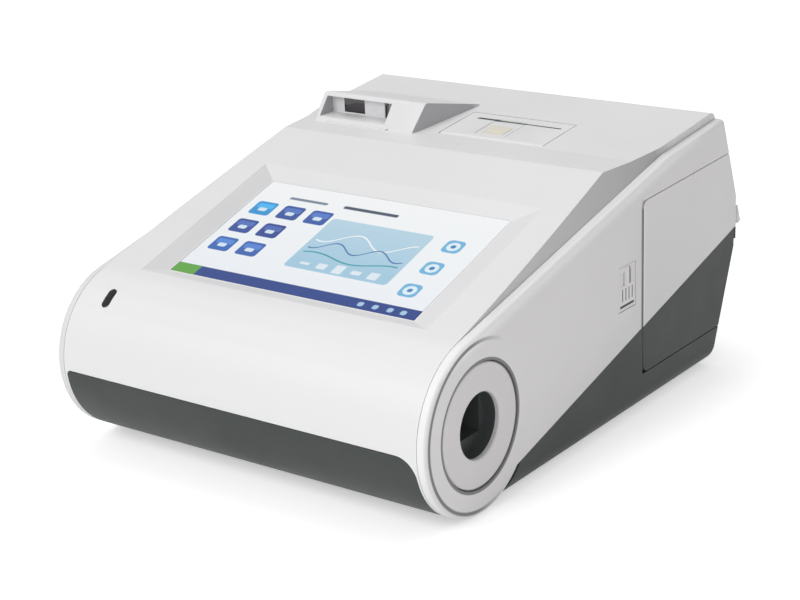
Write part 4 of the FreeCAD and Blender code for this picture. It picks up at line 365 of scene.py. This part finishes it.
def screen_design():
    """A made-up start page: tiles, a panel with a plain chart, round keys and a foot bar."""
    graph = Graph("screen_page", 0.12)
    low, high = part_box("touch_glass")
    offset = graph.vector("SUBTRACT", graph.coord, tuple((low + high) / 2))
    across = graph.vector("DOT_PRODUCT", offset, (1, 0, 0))
    upward = graph.vector("DOT_PRODUCT", offset, (0, math.cos(FACE_LEAN), math.sin(FACE_LEAN)))
    place = graph.node("ShaderNodeCombineXYZ", {"X": across, "Y": upward}).outputs[0]
    place = graph.vector("SCALE", place)
    place.node.inputs["Scale"].default_value = 1 / MM
    x_place, y_place, _ = graph.xyz(place)

    def box(x, y, width, height, corner=1.5, soft=0.25):
        """1 inside a rounded box, in millimetres from the middle of the page."""
        away = graph.vector("ABSOLUTE", graph.vector("SUBTRACT", place, (x, y, 0)))
        away = graph.vector("SUBTRACT", away, (width / 2 - corner, height / 2 - corner, 0))
        reach = graph.vector("LENGTH", graph.vector("MAXIMUM", away, (0, 0, 0)))
        return graph.ramp(reach, corner - soft, corner + soft, 1, 0)

    def wave(level, height, pitch, shift, thick):
        """1 on a thin smooth curve across the chart."""
        turn = graph.math("MULTIPLY_ADD", x_place, 2 * math.pi / pitch, shift)
        line = graph.math("MULTIPLY_ADD", graph.math("SINE", turn), height, level)
        gap = graph.math("ABSOLUTE", graph.math("SUBTRACT", y_place, line))
        return graph.ramp(gap, thick, thick + 0.35, 1, 0)

    fade = graph.ramp(y_place, -45, 45)
    page = graph.mix(fade, rgb(238, 243, 248), rgb(248, 250, 251))
    tiles = [(-66, 20), (-66, 2), (-66, -16), (-47, 20), (-47, 2), (-47, -16), (-28, 20)]
    blues = [
        (38, 150, 214), (44, 78, 158), (50, 104, 186), (46, 82, 162),
        (40, 70, 150), (52, 98, 180), (48, 90, 172),
    ]
    for (x, y), blue in zip(tiles, blues):
        page = graph.mix(box(x, y, 14, 12.5, 2.0), page, rgb(*blue))
        lighter = [min(255, channel + 34) for channel in blue]
        page = graph.mix(box(x, y + 2.2, 11, 4.5, 1.5), page, rgb(*lighter))
        page = graph.mix(box(x, y - 1.0, 5.5, 3.2, 1.2), page, rgb(214, 232, 246))
    page = graph.mix(box(-2, 33, 36, 2.6, 1.0), page, rgb(70, 84, 104))
    page = graph.mix(box(-44, 33, 26, 2.2, 1.0), page, rgb(120, 136, 156))
    chart = box(14, -1, 66, 46, 2.5)
    page = graph.mix(chart, page, graph.mix(fade, rgb(150, 196, 222), rgb(196, 222, 236)))
    for level, height, pitch, shift, colour in (
        (6, 5.0, 38, 0.4, (246, 250, 252)),
        (-2, 3.6, 27, 1.7, (66, 120, 178)),
        (-11, 2.4, 50, 2.6, (52, 158, 172)),
    ):
        inside = graph.math("MULTIPLY", wave(level, height, pitch, shift, 0.35), box(14, -1, 60, 40, 1))
        page = graph.mix(inside, page, rgb(*colour))
    for step in range(5):
        height = 2 + 1.3 * ((step * 2) % 5)
        page = graph.mix(box(-8 + 11 * step, -19, 6, height, 0.5), page, rgb(226, 238, 246))
    for y in (16, -4, -24):
        page = graph.mix(box(62, y, 11, 11, 3.0), page, rgb(112, 182, 224))
        page = graph.mix(box(62, y, 7.4, 7.4, 3.5), page, rgb(226, 242, 250))
        page = graph.mix(box(62, y, 3.0, 3.0, 1.4), page, rgb(60, 132, 194))
    page = graph.mix(box(0, -41.5, 170, 8.2, 0.4), page, rgb(36, 66, 140))
    page = graph.mix(box(-72, -41.5, 18, 8.2, 0.8), page, rgb(96, 168, 66))
    for x in (44, 53, 62, 70):
        page = graph.mix(box(x, -41.5, 3.4, 3.4, 1.2), page, rgb(170, 202, 232))
    grease = graph.ramp(graph.noise(30, 5, 0.7), 0.35, 0.7, 0.07, 0.2)
    graph.set(Base_Color=page, Roughness=grease, Emission_Color=page, Coat_Weight=0.5, Coat_Roughness=0.04)
    graph.set(Emission_Strength=0.06, IOR=1.5)
    return graph.material


def aim_glass():
    graph = Graph("aim_lens_glass", 0.1)
    tone = graph.mix(graph.noise(400, 2), rgb(214, 216, 222), rgb(236, 238, 242))
    haze = graph.ramp(graph.noise(200, 3), 0.3, 0.7, 0.06, 0.18)
    graph.set(Base_Color=tone, Roughness=haze, Coat_Weight=0.8)
    return graph.material


def lamp_lens():
    graph = Graph("status_lens_black", 0.15)
    tone = graph.mix(graph.noise(300, 2), rgb(14, 14, 16), rgb(26, 26, 30))
    haze = graph.ramp(graph.noise(90, 3), 0.3, 0.7, 0.1, 0.22)
    graph.set(Base_Color=tone, Roughness=haze, Coat_Weight=0.5)
    return graph.material


screen = screen_design()
glass_clear = clear_plastic()
window = smoked_glass()
board = circuit_board()
epoxy = chips()
paper = wound_paper()

# The material of each node
MATERIALS = {
    "upper_housing": shell, "lower_housing": dark, "right_side_panel": side, "left_side_panel": side,
    "left_roll_cap": bezel, "port_liner": liner, "port_bezel": bezel, "measuring_module": black,
    "heater_plate": aluminium, "touch_glass": screen, "lcd_panel": sheet, "display_frame": sheet,
    "status_lens": shell, "chassis": sheet, "main_board": board, "power_board": board,
    "board_parts": epoxy, "heat_sink": aluminium, "battery_pack": black, "battery_cover": dark,
    "screws": bright, "port_screws": bright, "feet": rubber_black, "fan_frame": black,
    "fan_rotor": black, "speaker": black, "pack_bay": inner, "calibrant_pack": pack_body,
    "fluid_coupler": ivory, "door_upper": side, "door_lower": dark, "door_inner_sheet": inner,
    "door_hinge_pin": bright, "door_latch": side, "latch_bracket": steel, "printer_lid": shell,
    "lid_hinge_pin": bright, "lid_tab": ivory, "platen_roller": rubber_grey, "drive_gear": ivory,
    "printer_frame": inner, "printer_motor": steel, "print_head": steel, "paper_roll": paper,
    "scanner_hood": shell, "scanner_window": window, "aim_lens": aim_glass(), "scan_engine": black,
    "port_plate": sheet, "dc_inlet": black, "usb_ports": bright, "lan_port": bright,
    "serial_port": bright, "switch_housing": black, "switch_rocker": black, "pump_body": inner,
    "pump_rotor": ivory, "pump_motor": steel, "fluid_tubes": glass_clear, "latch_spring": bright,
}
for name, node in NODES.items():
    node.data.materials.clear()
    node.data.materials.append(MATERIALS[name])


# Mesh helpers
def block(bm, low, high):
    """A box between two corners, in millimetres."""
    for vert in bmesh.ops.create_cube(bm, size=1)["verts"]:
        vert.co = Vector(
            (low[axis] + (high[axis] - low[axis]) * (vert.co[axis] + 0.5)) * MM for axis in range(3)
        )


def rod(bm, start, end, radius, sides, tip=None):
    """A round bar between two points, in millimetres; tip is its radius at the end."""
    first, last = Vector(start) * MM, Vector(end) * MM
    turn = (last - first).to_track_quat("Z", "Y").to_matrix().to_4x4()
    place = Matrix.Translation((first + last) / 2) @ turn
    narrow = radius if tip is None else tip
    bmesh.ops.create_cone(
        bm, cap_ends=True, segments=sides, radius1=radius * MM, radius2=narrow * MM,
        depth=(last - first).length, matrix=place,
    )


def tube_along(bm, points, radius, sides, closed=False):
    """A round section carried along points given in millimetres."""
    points = [Vector(point) * MM for point in points]
    count = len(points)
    rings = []
    across = None
    for index, point in enumerate(points):
        before = points[index - 1] if index or closed else point
        after = points[(index + 1) % count] if index < count - 1 or closed else point
        along = (after - before).normalized()
        if across is None:
            across = along.orthogonal().normalized()
        across = (across - along * across.dot(along)).normalized()
        other = along.cross(across)
        ring = []
        for step in range(sides):
            angle = 2 * math.pi * step / sides
            outward = across * math.cos(angle) + other * math.sin(angle)
            ring.append(bm.verts.new(point + outward * radius * MM))
        rings.append(ring)
    spans = count if closed else count - 1
    for index in range(spans):
        first, second = rings[index], rings[(index + 1) % count]
        for step in range(sides):
            after = (step + 1) % sides
            bm.faces.new((first[step], first[after], second[after], second[step]))
    if not closed:
        bm.faces.new(reversed(rings[0]))
        bm.faces.new(rings[-1])


def outline_slab(bm, outline, low, high):
    """A flat slab: outline is its corners in x and y, low and high its faces, in millimetres."""
    bottom = [bm.verts.new(Vector((x, y, low)) * MM) for x, y in outline]
    top = [bm.verts.new(Vector((x, y, high)) * MM) for x, y in outline]
    count = len(outline)
    for index in range(count):
        after = (index + 1) % count
        bm.faces.new((bottom[index], bottom[after], top[after], top[index]))
    bm.faces.new(reversed(bottom))
    bm.faces.new(top)


def piece(name, bm, material, body, bevel=0.0, steps=2, sharp=32, stands_for=()):
    """Finishes a mesh piece: normals, smooth shading up to an angle, bevel and body, and hides the parts
    it stands for.
    """
    bmesh.ops.recalc_face_normals(bm, faces=bm.faces)
    for edge in bm.edges:
        edge.smooth = len(edge.link_faces) != 2 or edge.calc_face_angle(0) < math.radians(sharp)
    for face in bm.faces:
        face.smooth = True
    data = bpy.data.meshes.new(name)
    bm.to_mesh(data)
    bm.free()
    made = bpy.data.objects.new(name, data)
    bpy.context.scene.collection.objects.link(made)
    data.materials.append(material)
    if bevel:
        rounding = made.modifiers.new("bevel", "BEVEL")
        rounding.width = bevel * MM
        rounding.segments = steps
        rounding.limit_method = "ANGLE"
        rounding.angle_limit = math.radians(sharp)
        rounding.harden_normals = False
    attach(made, body)
    if stands_for:
        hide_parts(*stands_for)
    return made


def box_mm(node):
    low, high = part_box(node)
    return low / MM, high / MM


# Contacts in the back sockets: on the tongue of each USB mouth, then in the LAN and serial ports
USB_WALL, USB_MOUTH, USB_TONGUE_FOOT, USB_TONGUE, USB_PITCH = 1.2, 5.0, 1.2, 1.22, 2.6
LAN_PITCH, LAN_BENDS = 1.2, ((2.0, 1.45), (4.0, 2.2), (7.4, 4.6))
PIN_PITCH, PIN_ROW = 2.4, 1.4
gold = metal("gold_contacts", rgb(212, 178, 98), 0.25, (1, 6, 1))
low, high = box_mm("usb_ports")
bm = bmesh.new()
for mouth in (low.z + USB_WALL, high.z - USB_WALL - USB_MOUTH):
    level = mouth + USB_TONGUE_FOOT + USB_TONGUE
    for index in range(4):
        x = (low.x + high.x) / 2 + USB_PITCH * (index - 1.5)
        block(bm, (x - 0.5, high.y - 7.0, level), (x + 0.5, high.y - 1.6, level + 0.2))
piece("usb_contacts", bm, gold, "casing", 0.05)

low, high = box_mm("lan_port")
bm = bmesh.new()
for index in range(8):
    x = (low.x + high.x) / 2 + LAN_PITCH * (index - 3.5)
    tube_along(bm, [(x, high.y - inward, high.z - down) for inward, down in LAN_BENDS], 0.22, 6)
piece("lan_contacts", bm, gold, "casing")
bm = bmesh.new()
middle = (low.x + high.x) / 2
block(bm, (low.x + 1.3, high.y - 3.5, low.z + 1.3), (middle - 4.0, high.y - 0.6, low.z + 3.4))
block(bm, (middle + 4.0, high.y - 3.5, low.z + 1.3), (high.x - 1.3, high.y - 0.6, low.z + 3.4))
piece("lan_guides", bm, black, "casing", 0.2)

low, high = box_mm("serial_port")
bm = bmesh.new()
for row, count in ((PIN_ROW, 5), (-PIN_ROW, 4)):
    for index in range(count):
        x = (low.x + high.x) / 2 + PIN_PITCH * (index - (count - 1) / 2)
        z = (low.z + high.z) / 2 + row
        rod(bm, (x, high.y - 2.0, z), (x, high.y - 0.5, z), 0.45, 14)
        rod(bm, (x, high.y - 0.5, z), (x, high.y - 0.1, z), 0.45, 14, 0.22)
piece("serial_pins", bm, gold, "casing")

# Switch marks: a line and a circle
low, high = box_mm("switch_rocker")
middle = (low + high) / 2
bm = bmesh.new()
line_foot, line_top = middle.z + 2.0, middle.z + 4.6
block(bm, (middle.x - 0.35, high.y - 1.9, line_foot), (middle.x + 0.35, high.y - 0.9, line_top))
turns = [2 * math.pi * step / 28 for step in range(28)]
circle = [(1.5 * math.cos(angle), 1.5 * math.sin(angle)) for angle in turns]
tube_along(bm, [(middle.x + x, high.y - 1.5, middle.z - 3.6 + z) for x, z in circle], 0.25, 8, closed=True)
piece("switch_marks", bm, pack_body, "rocker")


def heads(node, first, second):
    """The middle of each of four screw heads, on the two axes given."""
    def middle_of(some, axis):
        return (min(point[axis] for point in some) + max(point[axis] for point in some)) / 2

    points = [vert.co / MM for vert in NODES[node].data.vertices]
    split = [middle_of(points, axis) for axis in (first, second)]
    for right in (False, True):
        for upper in (False, True):
            wanted = (right, upper)
            near = [p for p in points if (p[first] > split[0], p[second] > split[1]) == wanted]
            yield [middle_of(near, axis) for axis in (first, second)]


# Cross recesses in the screw heads
bm = bmesh.new()
level = box_mm("port_screws")[1].y
for x, z in heads("port_screws", 0, 2):
    block(bm, (x - 1.2, level - 0.5, z - 0.28), (x + 1.2, level + 0.02, z + 0.28))
    block(bm, (x - 0.28, level - 0.5, z - 1.2), (x + 0.28, level + 0.02, z + 1.2))
piece("port_screw_recesses", bm, dark_seam_and_shade, "casing")
bm = bmesh.new()
level = box_mm("screws")[0].z
for x, y in heads("screws", 0, 1):
    block(bm, (x - 1.6, y - 0.35, level - 0.02), (x + 1.6, y + 0.35, level + 0.6))
    block(bm, (x - 0.35, y - 1.6, level - 0.02), (x + 0.35, y + 1.6, level + 0.6))
piece("base_screw_recesses", bm, dark_seam_and_shade, "casing")


# The deck's height at one place in y, and its rise per millimetre towards the rear
DECK_Y, DECK_Z, DECK_SLOPE = 48.0, 137.93, 0.10976


def on_deck(bm):
    """Tilts what was laid flat at height zero onto the deck."""
    for vert in bm.verts:
        vert.co.z += (DECK_Z + (vert.co.y / MM - DECK_Y) * DECK_SLOPE) * MM


def rounded(left, right, front, rear, corner, steps=7):
    """The corners of a rounded rectangle, in millimetres."""
    for x, y, start in ((right, rear, 0), (left, rear, 90), (left, front, 180), (right, front, 270)):
        middle_x = x - corner if x == right else x + corner
        middle_y = y - corner if y == rear else y + corner
        for step in range(steps):
            angle = math.radians(start + 90 * step / (steps - 1))
            yield middle_x + corner * math.cos(angle), middle_y + corner * math.sin(angle)


# Paper exit line on the lid, with a wider mouth at its left. The lid's tab slides just under it.
bm = bmesh.new()
outline = [
    (-8, 78.2), (47, 78.2), (47.6, 78.8), (47, 79.4), (7.5, 79.4), (6, 80.2), (-7.4, 80.2), (-9, 78.9),
]
outline_slab(bm, outline, -0.01, 0.04)
on_deck(bm)
piece("lid_exit_line", bm, dark_seam_and_shade, "lid")

# Lip in front of the scanner hood with a grey strip under it as its painted shadow line, and a dark block
# beside the aiming lens as painted shade in the slot
bm = bmesh.new()
outline_slab(bm, [(-91, 41.6), (-47, 41.6), (-46, 43.3), (-91, 43.3)], -0.6, 1.2)
on_deck(bm)
piece("hood_lip", bm, shell, "casing", 0.4, 3)
# A grey strip under the lip: a painted shadow line
bm = bmesh.new()
outline_slab(bm, [(-90.5, 40.9), (-46.5, 40.9), (-46, 41.7), (-90.5, 41.7)], -0.3, 0.08)
on_deck(bm)
piece("hood_lip_painted_shadow", bm, inner, "casing")
# A dark block in the slot beside the aiming lens: painted shade
bm = bmesh.new()
block(bm, (-61.8, 58.7, 139.6), (-58.8, 60.2, 147.4))
piece("hood_slot_painted_shade", bm, dark_seam_and_shade, "casing", 0.3)

# Raised grip on the latch: a stem above, a ribbed pad below; the ribs and the lines under the pad and
# beside the stem are dark as painted shade
low, high = box_mm("door_latch")
middle = (low + high) / 2
bm = bmesh.new()
block(bm, (high.x - 0.6, low.y + 3.0, low.z + 5.0), (high.x + 0.28, high.y - 3.0, middle.z + 1.5))
block(bm, (high.x - 0.6, middle.y - 2.0, middle.z + 1.0), (high.x + 0.28, middle.y + 2.2, high.z - 3.0))
piece("latch_grip", bm, side, "latch", 0.25, 3)
# Dark ribs on the pad, a dark line under it and one beside the stem: the grip's shade, painted
bm = bmesh.new()
for index in range(4):
    y = low.y + 5.5 + (high.y - low.y - 11.0) * index / 3
    block(bm, (high.x, y - 0.45, low.z + 7.0), (high.x + 0.3, y + 0.45, middle.z))
block(bm, (high.x - 0.5, low.y + 3.4, low.z + 3.6), (high.x + 0.1, high.y - 3.4, low.z + 5.0))
block(bm, (high.x - 0.5, middle.y + 2.2, middle.z + 1.5), (high.x + 0.1, middle.y + 3.3, high.z - 3.0))
piece("latch_ribs_painted_shade", bm, dark_seam_and_shade, "latch", 0.1)

# Latch spring: a wound coil with flat ends; the real spring shortens as the latch is pressed
COIL_TURNS, TURN_STEPS, FLAT_STEPS = 6, 24, 18
low, high = box_mm("latch_spring")
middle = (low + high) / 2
wire = 0.36
coil = (high.z - low.z) / 2 - wire
bm = bmesh.new()
points = []
for step in range(COIL_TURNS * TURN_STEPS + 1):
    angle = 2 * math.pi * step / TURN_STEPS
    share = (step - FLAT_STEPS) / (COIL_TURNS * TURN_STEPS - 2 * FLAT_STEPS)
    x = low.x + wire + (high.x - low.x - 2 * wire) * min(1.0, max(0.0, share))
    points.append((x, middle.y + coil * math.cos(angle), middle.z + coil * math.sin(angle)))
tube_along(bm, points, wire, 8)
spring = piece("latch_coil", bm, bright, "casing", stands_for=("latch_spring",))
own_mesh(spring)

# Tab on the lid: a flush slide in the lid's colour, and a rounded ivory thumb pad on it
low, high = box_mm("lid_tab")
bm = bmesh.new()
outline_slab(bm, list(rounded(low.x, high.x, low.y + 0.1, high.y - 0.1, 0.8)), -0.9, -0.02)
on_deck(bm)
piece("lid_tab_slide", bm, shell, "lid_tab", 0.15, stands_for=("lid_tab",))
bm = bmesh.new()
pad = (low.x + 3.0, high.x - 2.6, low.y + 0.8, low.y + 12.6)
outline_slab(bm, list(rounded(*pad, 2.2)), -0.3, 0.5)
for index in range(3):
    y = pad[2] + 2.6 + 1.5 * index
    outline_slab(bm, list(rounded(pad[0] + 2.4, pad[1] - 2.4, y, y + 0.7, 0.34, 4)), 0.4, 0.72)
on_deck(bm)
piece("lid_tab_pad", bm, ivory, "lid_tab", 0.12, 3)

# Status lamp: a crowned black pill that follows the roll, over its light guide
PILL_HALF_WIDTH, PILL_HALF_LENGTH, PILL_STEPS = 2.5, 6.0, 28
PILL_SECTION = ((-1, -0.4), (-1, 0.06), (-0.8, 0.2), (0.8, 0.2), (1, 0.06), (1, -0.4))
low, high = box_mm("status_lens")
middle = (low + high) / 2
turn_to = math.atan2(ROLL_Y - middle.y, middle.z - ROLL_Z)
bm = bmesh.new()
rows = []
for step in range(PILL_STEPS + 1):
    along = PILL_HALF_LENGTH * (2 * step / PILL_STEPS - 1)
    past = max(0.0, abs(along) - (PILL_HALF_LENGTH - PILL_HALF_WIDTH))
    width = math.sqrt(max(0.0, PILL_HALF_WIDTH ** 2 - past ** 2)) + 0.05
    angle = turn_to + along / ROLL_RADIUS
    row = []
    for across, rise in PILL_SECTION:
        radius = ROLL_RADIUS + rise
        forward, up = radius * math.sin(angle), radius * math.cos(angle)
        spot = Vector((middle.x + width * across, ROLL_Y - forward, ROLL_Z + up))
        row.append(bm.verts.new(spot * MM))
    rows.append(row)
for first, second in zip(rows, rows[1:]):
    for index in range(len(PILL_SECTION)):
        after = (index + 1) % len(PILL_SECTION)
        bm.faces.new((first[index], first[after], second[after], second[index]))
bm.faces.new(rows[0])
bm.faces.new(reversed(rows[-1]))
piece("status_pill", bm, lamp_lens(), "casing", sharp=50)


# Floor, light and camera
FLOOR_GLOW, FAR_FLOOR_GLOW = 0.46, 0.7
FLOOR_REACH = 6
WORLD_LIGHT, WORLD_SEEN = 0.42, 1.0

# The camera as fitted to the photograph: azimuth, elevation and roll in degrees, place in metres
FOCAL_PX, IMAGE_WIDTH = 1882.30, 800
CAMERA_ANGLES = (36.8695, 19.0397, -2.2811)
CAMERA_PLACE = (0.58353, -0.79147, 0.39602)


def stage_material():
    """White to the camera and to reflections, a plain pale floor to the light."""
    graph = Graph("floor_white", 0.9)
    tree = graph.tree
    mottle = graph.ramp(graph.noise(3, 2), 0.3, 0.7)
    paint = graph.mix(mottle, (0.90, 0.90, 0.90, 1), (0.94, 0.94, 0.94, 1))
    graph.set(Base_Color=paint, Specular_IOR_Level=0.0)
    path = graph.node("ShaderNodeLightPath")
    seen = graph.math("MAXIMUM", path.outputs["Is Camera Ray"], path.outputs["Is Glossy Ray"])
    seen = graph.math("MAXIMUM", seen, path.outputs["Is Transmission Ray"])
    glow = graph.node("ShaderNodeEmission", {"Color": (1, 1, 1, 1)})
    reach = graph.vector("LENGTH", graph.coord)
    level = graph.ramp(reach, 0.4, 2.5, FLOOR_GLOW, FAR_FLOOR_GLOW)
    graph.put(glow.inputs["Strength"], graph.math("MULTIPLY", seen, level))
    both = graph.node("ShaderNodeAddShader")
    tree.links.new(graph.shader.outputs[0], both.inputs[0])
    tree.links.new(glow.outputs[0], both.inputs[1])
    tree.links.new(both.outputs[0], tree.nodes["Material Output"].inputs["Surface"])
    return graph.material


mesh = bpy.data.meshes.new("floor")
corners = [(FLOOR_REACH * x, FLOOR_REACH * y, 0) for x, y in ((-1, -1), (1, -1), (1, 1), (-1, 1))]
mesh.from_pydata(corners, [], [(0, 1, 2, 3)])
floor = bpy.data.objects.new("floor", mesh)
bpy.context.scene.collection.objects.link(floor)
floor.data.materials.append(stage_material())

world = bpy.data.worlds.new("studio")
bpy.context.scene.world = world
world.use_nodes = True
tree = world.node_tree
back = tree.nodes["Background"]
path = tree.nodes.new("ShaderNodeLightPath")
direct = tree.nodes.new("ShaderNodeMath")
direct.operation = "MAXIMUM"
tree.links.new(path.outputs["Is Camera Ray"], direct.inputs[0])
tree.links.new(path.outputs["Is Transmission Ray"], direct.inputs[1])
level = tree.nodes.new("ShaderNodeMapRange")
level.inputs["To Min"].default_value = WORLD_LIGHT
level.inputs["To Max"].default_value = WORLD_SEEN
tree.links.new(direct.outputs[0], level.inputs["Value"])
tree.links.new(level.outputs[0], back.inputs["Strength"])
back.inputs["Color"].default_value = (1, 1, 1, 1)


def lamp(name, place, aim, size, power):
    data = bpy.data.lights.new(name, "AREA")
    data.shape = "DISK"
    data.size = size
    data.energy = power
    made = bpy.data.objects.new(name, data)
    made.location = place
    made.rotation_euler = (Vector(aim) - Vector(place)).to_track_quat("-Z", "Y").to_euler()
    bpy.context.scene.collection.objects.link(made)


lamp("key", (-0.5, -1.5, 1.3), (0, 0, 0.08), 1.1, 12.5)
lamp("top", (-0.3, 0.5, 1.9), (0, 0, 0.08), 1.4, 9.5)
lamp("fill", (0.8, -0.9, 0.6), (0.1, -0.12, 0.06), 0.7, 2.7)

scene = bpy.context.scene
camera_data = bpy.data.cameras.new("camera")
camera_data.sensor_width = 36
camera_data.lens = FOCAL_PX * camera_data.sensor_width / IMAGE_WIDTH
camera = bpy.data.objects.new("camera", camera_data)
azimuth, elevation, roll = (math.radians(angle) for angle in CAMERA_ANGLES)
rightward = Vector((math.cos(azimuth), math.sin(azimuth), 0))
forward = Vector((-math.sin(azimuth), math.cos(azimuth), 0))
backward = Vector((0, 0, math.sin(elevation))) - forward * math.cos(elevation)
upward = backward.cross(rightward)
turned_right = rightward * math.cos(roll) + upward * math.sin(roll)
turned_up = upward * math.cos(roll) - rightward * math.sin(roll)
turn = Matrix((turned_right, turned_up, backward)).transposed()
camera.matrix_world = Matrix.Translation(CAMERA_PLACE) @ turn.to_4x4()
scene.collection.objects.link(camera)
scene.camera = camera
scene.view_settings.view_transform = "Standard"
